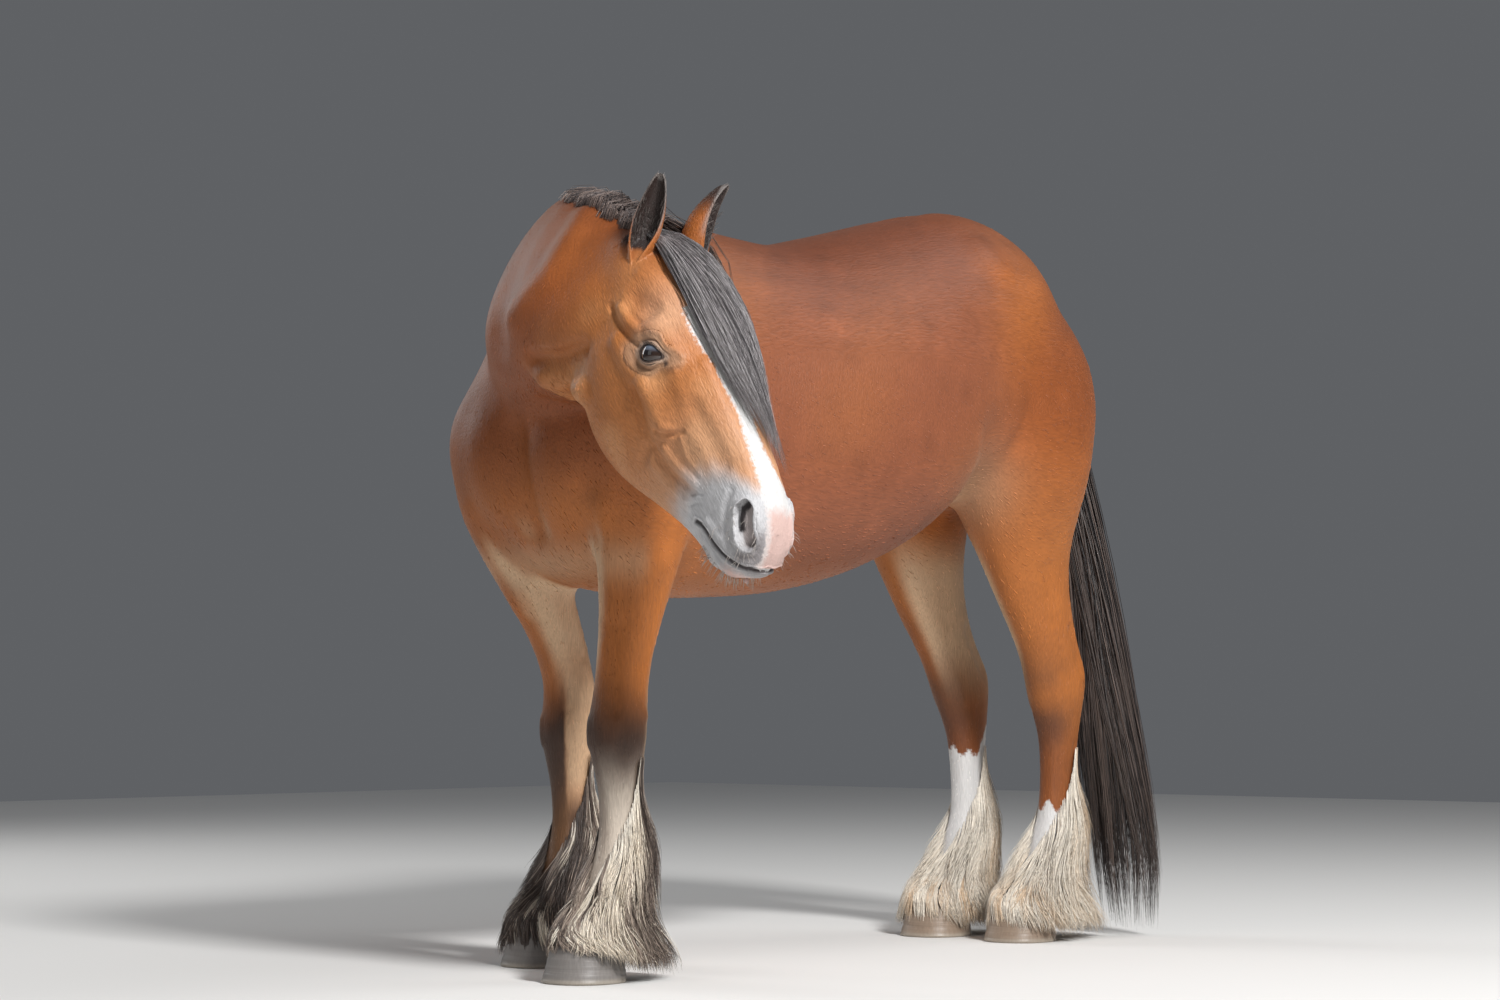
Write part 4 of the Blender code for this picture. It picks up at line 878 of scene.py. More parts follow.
def coat_colours(points, normals):
    """The coat's colour at each point, before the white markings, with painted shade on the breast, in the
    folds round the eyes and brow, in the nostrils and along the mouth.
    """
    x, y, z = points.T
    ahead, out, up = normals.T
    colours = np.repeat(BAY[None], len(points), axis=0)

    def paint(colour, share):
        colours[:] = mixed(colours, colour, share)

    def bell(value, middle, width):
        return np.exp(-((value - middle) ** 2) / width)

    # Redder and duller along the barrel, golden on the legs, dark over the back
    barrel = eased(x, -0.50, -0.30) * eased(0.50 - x, 0.0, 0.20) * eased(z, 0.60, 0.80)
    paint(BAY_RED, 0.75 * barrel)
    paint(BAY_LIGHT, 0.55 * eased(1.10 - z, 0.0, 0.35) * (1 - barrel))
    paint(BAY_LIGHT, 0.35 * eased(wavy(points, 2.2, 5), -0.2, 1.1))
    paint(BAY_DEEP, 0.65 * eased(up, 0.1, 0.95) * eased(z, 0.9, 1.3))
    paint(BAY_DEEP, 0.40 * eased(wavy(points, 1.6, 8), 0.0, 1.2))
    colours *= (1 + 0.16 * wavy(points, 9, 31) * wavy(points, 13, 33))[:, None]
    # Painted shade: the breast below the neck darkened, as if in the shade of head and neck
    paint(BAY_DEEP, 0.45 * eased(x, 0.58, 0.72) * eased(1.22 - z, 0.0, 0.20) * eased(z, 0.82, 0.95))
    # Pale flank fold, belly line, inner thighs and inner forearms
    inner = eased(-out * np.sign(y), 0.05, 0.65) * (np.abs(y) < 0.26)
    paint(PALE, 0.90 * inner * eased(z, 0.46, 0.62) * eased(0.86 - z, 0.0, 0.12))
    paint(PALE, 0.55 * bell(x, -0.37, 0.007) * bell(z, 0.88, 0.007))
    paint(PALE, 0.35 * bell(z, 0.745, 0.0012) * (x > 0.45) * eased(ahead, 0.1, 0.5))
    # Dark lower legs, and on the hind ones dark only round the hocks
    fore = x > -0.1
    low = fore * eased(0.57 - z + 0.03 * wavy(points, 6, 4), 0.0, 0.14)
    cream_side = (y < 0) * fore * eased(out - 0.25 * ahead, 0.30, 0.62) * eased(z, 0.27, 0.36)
    paint(BLACK_BROWN, 0.94 * low * (1 - 0.92 * cream_side))
    paint(PALE * 0.92, 0.80 * cream_side * eased(0.60 - z, 0.0, 0.10))
    paint(PALE * 0.85, 0.60 * fore * eased(-ahead, 0.2, 0.8) * bell(z, 0.44, 0.014))
    smudge = bell(z, 0.46, 0.012) * eased(ahead, -0.5, 0.6) * (~fore)
    paint(BLACK_BROWN, 0.75 * smudge * eased(wavy(points, 5, 9), -1.2, 0.3))
    paint(BAY_DEEP, 0.55 * eased(0.55 - z, 0.0, 0.2) * (~fore))
    # Below the knees: brown on the right fore leg's front, grey and cream on the left one
    paint((0.16, 0.075, 0.030), 0.75 * bell(z, 0.24, 0.008) * eased(ahead, 0.1, 0.8) * fore * (y < 0))
    grizzle = fore * (y > 0) * eased(0.43 - z, 0.0, 0.15) * eased(ahead * 0.7 + out * 0.7, -0.2, 0.7)
    streaks = eased(wavy(points * (1, 1, 0.10), 20, 6), -1.1, 0.6)
    paint((0.30, 0.235, 0.19), 0.85 * grizzle)
    paint((0.62, 0.54, 0.45), 0.75 * grizzle * streaks)
    # Head: golden cheeks, paler nose, blue-grey muzzle, dark round the eyes, and painted shade in the eyes'
    # folds, the nostrils and between the lips
    places = in_head(points)
    hx, hy, hz = places.T
    aside = aside_of(places)
    head = eased(hx, -0.02, 0.12) * (np.abs(hy) < 0.16) * (np.abs(hz) < 0.25)
    paint((0.50, 0.185, 0.052), 0.70 * head)
    paint((0.58, 0.29, 0.13), 0.55 * head * eased(wavy(places, 8, 12), -0.3, 1.0))
    paint((0.56, 0.33, 0.20), 0.60 * head * eased(hx, 0.26, 0.42))
    paint((0.60, 0.36, 0.24), 0.50 * head * bell(hx, 0.16, 0.0036) * eased(hz, 0.02, 0.07))
    edge = np.interp(hz, *GREY_EDGE) + 0.006 * wavy(places, 30, 21)
    paint(MUZZLE_GREY, head * eased(hx - edge, -0.030, 0.040))
    dusk = np.linalg.norm(places - (0.588, 0.0, -0.004), axis=1)
    paint((0.150, 0.130, 0.132), 0.85 * np.exp(-((dusk / 0.052) ** 2)) * head)
    shadow = to_line(aside, [(0.574, 0.045, -0.014), (0.590, 0.034, 0.004), (0.572, 0.033, 0.034)])
    paint((0.170, 0.150, 0.152), 0.70 * np.exp(-((shadow / 0.011) ** 2)) * head)
    for side in (1, -1):
        ring, turn, near = eye_ring(places, side)
        upper, lower = near * np.sin(turn).clip(0, 1), near * (-np.sin(turn)).clip(0, 1)
        paint((0.36, 0.24, 0.16), 0.60 * eased(3.2 - ring, 0.0, 1.3) * near)
        paint((0.40, 0.31, 0.25), 0.55 * eased(1.62 - ring, 0.0, 0.3) * near)
        # Painted shade: a dark crescent in the groove under the lower lid and a dark line in the fold over
        # the upper one
        paint((0.17, 0.090, 0.050), 0.50 * bell(ring, 1.80, 0.0484) * lower)
        paint((0.20, 0.13, 0.09), 0.50 * bell(ring, 1.55, 0.0100) * upper)
        paint(LID_DARK, 0.94 * eased(1.18 - ring, 0.0, 0.09) * near)
        corner = np.linalg.norm(places - (0.243, side * 0.087, 0.055), axis=1)
        paint((0.05, 0.032, 0.028), 0.85 * eased(0.0075 - corner, 0.0, 0.005))
    # Painted shade along the crease of the brow above the eye
    fold = ((0.090, 0.088, 0.0), (0.115, 0.092, 0.001), (0.143, 0.096, 0.009), (0.172, 0.097, 0.017))
    crease = to_line(aside, fold)
    paint((0.17, 0.075, 0.035), 0.55 * eased(0.008 - crease, 0.0, 0.006) * head)
    flat, lines = aside * NO_DEPTH, (NOSTRIL, NOSTRIL_DARK, MOUTH)
    opening, nostril_shade, mouth = (to_line(flat, line * NO_DEPTH) for line in lines)
    inner_nose = eased(0.0130 - opening, 0.0, 0.005) * head
    paint((0.330, 0.270, 0.255), 0.75 * inner_nose)
    # Painted shade: the nostril's lower end, the upper part of its opening near black, and the line between
    # the lips
    paint((0.050, 0.036, 0.036), 0.60 * inner_nose * eased(hx, 0.556, 0.570))
    paint((0.012, 0.008, 0.009), 0.98 * eased(0.0080 - nostril_shade, 0.0, 0.0035) * head)
    paint((0.035, 0.026, 0.027), 0.92 * eased(0.0055 - mouth, 0.0, 0.0035) * head)
    # Ears: black inside, grey at their rims, dark towards the tip
    share, inside, rim = ear_shares(places, normals)
    outside = eased(share, 0.45, 0.85) * 0.93
    paint((0.020, 0.016, 0.016), (share > 0) * np.maximum(inside * 0.97, outside))
    paint((0.20, 0.18, 0.17), 0.75 * rim)
    return colours


def ear_shares(places, normals):
    """Share of the ear's length at each place, whether inside the cup, and how near its rim."""
    share, inside, rim = (np.zeros(len(places)) for _ in range(3))
    axes = head_axes() / HEAD_SCALE
    for word, sign in SIDES.items():
        base, lean, opening, _ = ear_frame(word)
        off = places - base
        along = off @ lean
        aside = off - along[:, None] * lean
        near = (np.linalg.norm(aside, axis=1) < 0.045) & (places[:, 1] * sign > 0) & (along > 0.008)
        share = np.where(near, along * HEAD_SCALE / EAR_LENGTH, share)
        facing = np.einsum("ij,ij->i", unit(aside), normals @ axes.T)
        inside = np.where(near, eased(-facing, -0.35, 0.05) * eased(along, 0.004, 0.014), inside)
        at_rim = eased(unit(aside) @ opening, -0.05, 0.25) * eased(share, 0.2, 0.5)
        rim = np.where(near, at_rim * eased(facing, -0.3, 0.2), rim)
    return share, inside, rim


def pink_share(points):
    """Where the skin of the muzzle is pink: the snip and the lower lip."""
    places = in_head(points)
    hx, hy, hz = places.T
    snip = np.minimum(0.030 - np.abs(hy - 0.011), (hx - 0.536) * 0.8)
    lip = 0.026 - np.linalg.norm((places - (0.582, 0.0, -0.058)) * (0.9, 0.48, 1.3), axis=1)
    on_nose = (hx > 0.50) & (hx < 0.63) & (np.abs(hy) < 0.1)
    return np.where(on_nose, np.maximum(np.where(hz > MOUTH[-1][2] - 0.002, snip, -1), lip), -0.05)


def add_colour(mesh, name, colours):
    attribute = mesh.color_attributes.new(name, "FLOAT_COLOR", "POINT")
    rgba = np.ones((len(colours), 4), np.float32)
    rgba[:, :3] = np.clip(colours, 0, 1)
    attribute.data.foreach_set("color", rgba.ravel())


# Shader groups and materials

def set_inputs(tree, made, given):
    """Sets inputs of a node, each to a socket or a constant."""
    for name, value in given.items():
        if isinstance(value, bpy.types.NodeSocket):
            tree.links.new(value, made.inputs[name])
        else:
            made.inputs[name].default_value = value


def node(tree, kind, given=None, **values):
    """A new node with its settings, then its inputs by name or number."""
    made = tree.nodes.new(kind)
    for key, value in values.items():
        setattr(made, key, value)
    set_inputs(tree, made, given or {})
    return made


def new_tree(name, kind, sockets):
    """A node group with its sockets, and the outputs of its input node."""
    tree = bpy.data.node_groups.new(name, kind)
    for label, in_out, socket_kind, value in sockets:
        socket = tree.interface.new_socket(label, in_out=in_out, socket_type="NodeSocket" + socket_kind)
        if value is not None:
            socket.default_value = value
    return tree, node(tree, "NodeGroupInput").outputs


def blended(tree, share, first, second, mode="MIX"):
    given = {0: share, 6: first, 7: second}
    return node(tree, "ShaderNodeMix", given, data_type="RGBA", blend_type=mode).outputs[2]


def maths(tree, operation, *values):
    return node(tree, "ShaderNodeMath", dict(enumerate(values)), operation=operation).outputs[0]


def vectors(tree, operation, *values):
    return node(tree, "ShaderNodeVectorMath", dict(enumerate(values)), operation=operation).outputs[0]


def noise(tree, vector, scale, detail, distortion=0.0):
    given = {"Vector": vector, "Scale": scale, "Detail": detail, "Distortion": distortion}
    return node(tree, "ShaderNodeTexNoise", given).outputs[0]


def grey(tree, value):
    return node(tree, "ShaderNodeCombineColor", {0: value, 1: value, 2: value}).outputs[0]


def bump(tree, height, strength, distance):
    given = {"Height": height, "Strength": strength, "Distance": distance}
    return node(tree, "ShaderNodeBump", given).outputs[0]


def attribute(tree, name, socket="Fac"):
    return node(tree, "ShaderNodeAttribute", attribute_name=name).outputs[socket]


def object_place(tree):
    return node(tree, "ShaderNodeTexCoord").outputs["Object"]


def hair_grain_group():
    """Short hair: streaks along one direction, as a height and a shade."""
    group, given = new_tree("Hair grain", "ShaderNodeTree", (
        ("Coordinates", "INPUT", "Vector", None), ("Fineness", "INPUT", "Float", 700),
        ("Stretch", "INPUT", "Vector", (1, 1, 1)),
        ("Height", "OUTPUT", "Float", None), ("Shade", "OUTPUT", "Float", None),
    ))
    scaled = vectors(group, "MULTIPLY", given["Coordinates"], given["Stretch"])
    fine = noise(group, scaled, given["Fineness"], 3, 0.3)
    broad = noise(group, scaled, maths(group, "MULTIPLY", given["Fineness"], 0.16), 2)
    height = maths(group, "MULTIPLY_ADD", broad, 0.5, fine)
    shade = maths(group, "MULTIPLY_ADD", fine, 0.7, 0.65)
    node(group, "NodeGroupOutput", {"Height": height, "Shade": shade})
    return group


def new_material(name, constants):
    """A material with a Principled shader whose constants are set on its own sockets."""
    made = bpy.data.materials.new(name)
    made.use_nodes = True
    shader = made.node_tree.nodes["Principled BSDF"]
    set_inputs(made.node_tree, shader, constants)
    return made, made.node_tree, shader


def skin_material(grain):
    """Short flat hair: streaks along its lie, with the white and pink markings."""
    made, tree, shader = new_material("short_coat", {
        "Roughness": 0.50, "Sheen Weight": 0.06, "Sheen Roughness": 0.35, "Sheen Tint": (1.0, 0.78, 0.60, 1),
        "Specular IOR Level": 0.34,
    })
    place = object_place(tree)
    turn = (math.radians(-33), 0, math.radians(-87))
    turned = node(tree, "ShaderNodeMapping", {"Vector": place, "Rotation": turn}).outputs[0]
    grains = []
    for vector, stretch in ((place, (0.14, 1, 0.60)), (place, (1, 1, 0.12)), (turned, (1, 1, 0.20))):
        given = {"Coordinates": vector, "Fineness": 330, "Stretch": stretch}
        grains.append(node(tree, "ShaderNodeGroup", given, node_tree=grain).outputs)

    def chosen(name):
        """A value of the grain of trunk, leg or head, whichever a place belongs to."""
        value = grains[0][name]
        for part, other in (("on_leg", grains[1]), ("on_head", grains[2])):
            given = {0: attribute(tree, part), 2: value, 3: other[name]}
            value = node(tree, "ShaderNodeMix", given, data_type="FLOAT").outputs[0]
        return value

    height, shade = chosen("Height"), chosen("Shade")
    ragged = noise(tree, place, 150, 4)
    rough_edge = maths(tree, "MULTIPLY_ADD", ragged, 0.018, -0.009)
    rough_edge = maths(tree, "MULTIPLY_ADD", shade, 0.007, rough_edge)

    def mask(name, soft):
        value = maths(tree, "DIVIDE", maths(tree, "ADD", attribute(tree, name), rough_edge), soft)
        return node(tree, "ShaderNodeClamp", {0: value}).outputs[0]

    shaded = grey(tree, shade)
    colour = blended(tree, 0.95, attribute(tree, "tint", "Color"), shaded, "MULTIPLY")
    white = blended(tree, 0.5, (0.60, 0.59, 0.58, 1), shaded, "MULTIPLY")
    colour = blended(tree, mask("white", 0.006), colour, white)
    colour = blended(tree, mask("pink", 0.016), colour, (0.56, 0.39, 0.35, 1))
    set_inputs(tree, shader, {"Base Color": colour, "Normal": bump(tree, height, 0.70, 0.0022)})
    return made


def hair_material(name, roughness, sheen):
    """Long hair: the colour of each strand with fine streaks along it."""
    constants = {
        "Roughness": roughness, "Sheen Weight": sheen, "Sheen Roughness": 0.4, "Specular IOR Level": 0.40,
    }
    made, tree, shader = new_material(name, constants)
    streak = noise(tree, object_place(tree), 160, 3)
    shade = grey(tree, maths(tree, "MULTIPLY_ADD", streak, 0.9, 0.55))
    colour = blended(tree, 0.8, attribute(tree, "tint", "Color"), shade, "MULTIPLY")
    set_inputs(tree, shader, {"Base Color": colour, "Normal": bump(tree, streak, 0.25, 0.0006)})
    return made


def horn_material():
    """Hoof horn: rings of growth and upright streaks."""
    made, tree, shader = new_material("hoof_horn", {})
    place, white = object_place(tree), (1, 1, 1, 1)
    rings = noise(tree, vectors(tree, "MULTIPLY", place, (0.25, 0.25, 5.0)), 34, 4)
    streaks = noise(tree, vectors(tree, "MULTIPLY", place, (1, 1, 0.06)), 260, 3)
    ring_mix = blended(tree, rings, (0.45, 0.45, 0.45, 1), white)
    colour = blended(tree, 0.55, attribute(tree, "tint", "Color"), ring_mix, "MULTIPLY")
    streak_mix = blended(tree, streaks, (0.55, 0.52, 0.50, 1), white)
    colour = blended(tree, 0.6, colour, streak_mix, "MULTIPLY")
    height = maths(tree, "MULTIPLY_ADD", streaks, 0.35, rings)
    set_inputs(tree, shader, {
        "Base Color": colour, "Roughness": maths(tree, "MULTIPLY_ADD", streaks, 0.35, 0.28),
        "Normal": bump(tree, height, 0.45, 0.0018),
    })
    return made


def eye_material():
    constants = {"Roughness": 0.06, "Coat Weight": 1.0, "Coat Roughness": 0.02, "IOR": 1.38}
    made, tree, shader = new_material("wet_eye", constants)
    fibre = noise(tree, object_place(tree), 900, 2)
    value = blended(tree, fibre, (0.6, 0.6, 0.6, 1), (1.3, 1.3, 1.3, 1))
    colour = blended(tree, 0.5, attribute(tree, "tint", "Color"), value, "MULTIPLY")
    set_inputs(tree, shader, {"Base Color": colour})
    return made


# Strands of hair

def strand_piece(name, look, lookup, paths, wide, facing, tint, tip_tint, flat=0.7):
    """Closed, tapered strands as one piece, each a small patch of the OFBake map."""
    count, steps = paths.shape[:2]
    root_uv = root_places(lookup, paths[:, 0])
    low, high = (np.array(corner) for corner in CAD_BOX)
    paths = np.clip(paths + SHIFT, low + BOX_INSET, high - BOX_INSET) - SHIFT
    way = unit(np.gradient(paths, axis=1))
    side = unit(np.cross(way, facing))
    front = np.cross(side, way)
    wide, thick = wide[..., None], wide[..., None] * flat
    ring = np.stack([
        paths + wide * side - 0.33 * thick * front,
        paths - wide * side - 0.33 * thick * front,
        paths + 0.67 * thick * front,
    ], axis=2)
    points = ring.reshape(-1, 3)
    base = (np.arange(count)[:, None] * steps + np.arange(steps - 1)).reshape(-1) * 3
    faces = []
    for j in range(3):
        k = (j + 1) % 3
        faces += [(base + j, base + k, base + 3 + k), (base + j, base + 3 + k, base + 3 + j)]
    first = np.arange(count) * steps * 3
    last = first + (steps - 1) * 3
    faces += [(first, first + 2, first + 1), (last, last + 1, last + 2)]
    faces = np.vstack([np.column_stack(corners) for corners in faces])
    # Turned about where the first strand shows a volume below 0
    a, b, c = (points[faces[faces[:, 0] < steps * 3][:, i]] for i in range(3))
    if np.einsum("ij,ij->", a, np.cross(b, c)) < 0:
        faces = faces[:, ::-1]
    mesh = bpy.data.meshes.new(name)
    mesh.from_pydata((points + SHIFT).tolist(), [], faces.tolist())
    share = np.linspace(0, 1, steps)
    colours = tint[:, None] + (tip_tint - tint)[:, None] * share[None, :, None]
    add_colour(mesh, "tint", np.repeat(colours.reshape(-1, 3), 3, axis=0))
    patch = np.zeros((count, steps, 3, 2))
    patch[..., 0] = (0.0, PATCH, PATCH / 2)
    patch[..., 1] = PATCH * share[None, :, None]
    uv = (root_uv[:, None, None] * ROOT_ROOM + patch).reshape(-1, 2)
    corners = np.empty(len(mesh.loops), int)
    mesh.loops.foreach_get("vertex_index", corners)
    mesh.uv_layers.new(name="OFBake").data.foreach_set("uv", uv[corners].astype(np.float32).ravel())
    mesh.shade_smooth()
    mesh.materials.append(look)
    piece = bpy.data.objects.new(name, mesh)
    bpy.context.scene.collection.objects.link(piece)
    finish_piece(piece)


def spread_strands(guides, facing, count, radius, seed, frizz, short):
    """Paths of strands that gather round guide lines in tapering locks, and the guide of each."""
    random = np.random.default_rng(seed)
    total, steps = guides.shape[:2]
    pick = np.arange(count) % total
    share = np.linspace(0, 1, steps)
    side = unit(np.cross(unit(np.gradient(guides, axis=1)), facing))
    front = np.cross(side, unit(np.gradient(guides, axis=1)))
    fan = np.clip(random.normal(size=(count, 2)) * (0.5, 0.28), -1.2, 1.2)
    profile = radius[0] + (radius[1] - radius[0]) * np.sin(share * math.pi * 0.62)
    profile = profile * (1 - share**2.2) + radius[2] * share**2.2
    offset = fan[:, 0, None, None] * side[pick] + np.abs(fan[:, 1, None, None]) * front[pick]
    paths = guides[pick] + offset * profile[None, :, None]
    reach = 1 - short * random.random(count) ** 1.6
    where = share[None] * reach[:, None] * (steps - 1)
    low = np.clip(where.astype(int), 0, steps - 2)
    part = (where - low)[..., None]
    rows = np.arange(count)[:, None]
    paths = paths[rows, low] * (1 - part) + paths[rows, low + 1] * part
    phase = random.uniform(0, 6.3, (count, 3))[:, None]
    speed = random.uniform(5, 11, (count, 3))[:, None]
    wave = np.sin(share[None, :, None] * speed + phase) - np.sin(phase)
    return paths + wave * (frizz * share[None, :, None]), pick


def taper(count, steps, size, seed, root=0.6):
    """Half widths along strands that start fine, fill and end in a point."""
    random = np.random.default_rng(seed)
    share = np.linspace(0, 1, steps)
    profile = (root + (1 - root) * np.sin(np.minimum(share * 3, 1) * math.pi / 2)) * (1 - share**3) + 0.06
    return size * random.uniform(0.65, 1.35, count)[:, None] * profile[None]


def hair_tints(count, pick, dark, light, streak, seed):
    """A colour for each strand: near alike inside a lock, with some lighter streaks."""
    random = np.random.default_rng(seed)
    locks = random.random(pick.max() + 1) ** 1.5
    share = np.clip(locks[pick] * 0.7 + random.normal(0, 0.18, count), 0, 1)
    tint = np.array(dark) + (np.array(light) - np.array(dark)) * share[:, None]
    pale = random.random(count) < streak
    return np.where(pale[:, None], tint * 0.5 + np.array(light) * 0.9, tint)


def hung_hair(name, look, lookup, guides, facing, count, seed, radius, loose, fine, tints, ends):
    """Long hair as one piece: strands spread round guide lines, with a shade at root and tip."""
    paths, pick = spread_strands(guides, facing, count, radius, seed, *loose)
    paths[..., 2] = np.maximum(paths[..., 2], HAIR_OFF_FLOOR)
    wide = taper(count, guides.shape[1], fine, seed + 1)
    tint = hair_tints(count, pick, *tints, seed + 2)
    strand_piece(name, look, lookup, paths, wide, facing[pick], tint * ends[0], tint * ends[1])


def finish_piece(piece, replaced=()):
    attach(piece, "root")
    if replaced:
        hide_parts(*replaced)


def dressed(piece, tint, look, replaced):
    """Colours a piece, moves it from the horse's own places to the solids and finishes it."""
    add_colour(piece.data, "tint", tint)
    set_points(piece.data, points_of(piece.data) + SHIFT)
    piece.data.shade_smooth()
    piece.data.materials.append(look)
    finish_piece(piece, replaced)


def crest_line():
    """Places along the top of the neck, and the way to its left."""
    rows = through(NECK, 8)
    way = np.gradient(rows[:, :2], axis=0)
    size = np.linalg.norm(way, axis=1)
    return rows[:, :3].copy(), np.column_stack([-way[:, 1] / size, way[:, 0] / size, np.zeros(len(rows))])


def lie_of_coat(points, normals):
    """The way the short hair lies at each point."""
    x, _, z = points.T
    places = in_head(points)
    axes = head_axes() / HEAD_SCALE
    leg = eased(0.78 - z, 0.0, 0.15)
    head = eased(places[:, 0], -0.02, 0.08) * (np.abs(places[:, 1]) < 0.16) * (np.abs(places[:, 2]) < 0.26)
    way = np.repeat(np.array([[-0.95, 0.0, -0.30]]), len(points), axis=0)
    for other, share in (
        ((-0.15, 0.0, -1.0), leg),
        ((-0.35, 0.0, -0.90), eased(-x, 0.55, 0.75) * (1 - leg)),
        (axes[0] - 0.35 * axes[2], head),
        ((-0.35, -0.70, -0.60), eased(x, 0.55, 0.72) * eased(z, 0.95, 1.05) * (1 - head)),
    ):
        way = mixed(way, other, share)
    in_ear = ear_shares(places, normals)[0] > 0.05
    way = np.where(in_ear[:, None], HEAD_SCALE * (axes[2] * 0.8 - axes[0] * 0.6), way)
    way = way + 0.25 * np.column_stack([wavy(points, 3, seed) for seed in (41, 42, 43)])
    return unit(way - np.einsum("ij,ij->i", way, normals)[:, None] * normals)


def tuft_shares(points, normals):
    """How thick the short tufts stand on body and head, and their size."""
    z, under = points[:, 2], eased(-normals[:, 2], 0.3, 0.8)
    places = in_head(points)
    hx, hy, hz = places.T
    head = (hx > 0.0) & (np.abs(hy) < 0.16) & (np.abs(hz) < 0.20)
    in_ear = ear_shares(places, normals)[0] > 0.05
    behind = eased(-normals[:, 0], 0.4, 0.9) * eased(1.2 - z, 0.0, 0.3)
    throat = eased(hx, -0.1, 0.0) * eased(-hz, 0.12, 0.20)
    body = np.max([np.full(len(z), 0.30), under, behind, 0.8 * eased(0.60 - z, 0.0, 0.1), throat], axis=0)
    body = np.where(head | in_ear, 0.0, body)
    face = np.maximum(0.45, eased(-hz, 0.06, 0.14))
    face = head * np.maximum(face, 0.9 * (np.abs(white_edge(points)) < 0.008))
    face = np.where(in_ear, 1.6, face)
    for side in (1, -1):
        ring, _, near = eye_ring(places, side)
        face = np.where(near & (ring < 1.35), 0.0, face)
    aside = aside_of(places)
    face = np.where((to_line(aside, NOSTRIL) < 0.016) | (to_line(aside, MOUTH) < 0.006), 0.0, face)
    size = np.where(z < 0.6, 0.8, 0.85 + 0.35 * under + 0.3 * throat)
    size = np.where(head, 0.42 - 0.12 * eased(hx, 0.40, 0.50) + 0.15 * eased(-hz, 0.08, 0.14), size)
    return body * (z > 0.09), face, np.where(in_ear, 0.5, size)


def shown_colours(points, tint):
    """The coat's colours with the white and pink markings in them."""
    white = eased(white_edge(points), -0.001, 0.003)
    pink = eased(pink_share(points), 0.0, 0.006)
    colours = mixed(tint, (0.60, 0.58, 0.55), white)
    return mixed(colours, (0.56, 0.37, 0.33), pink)


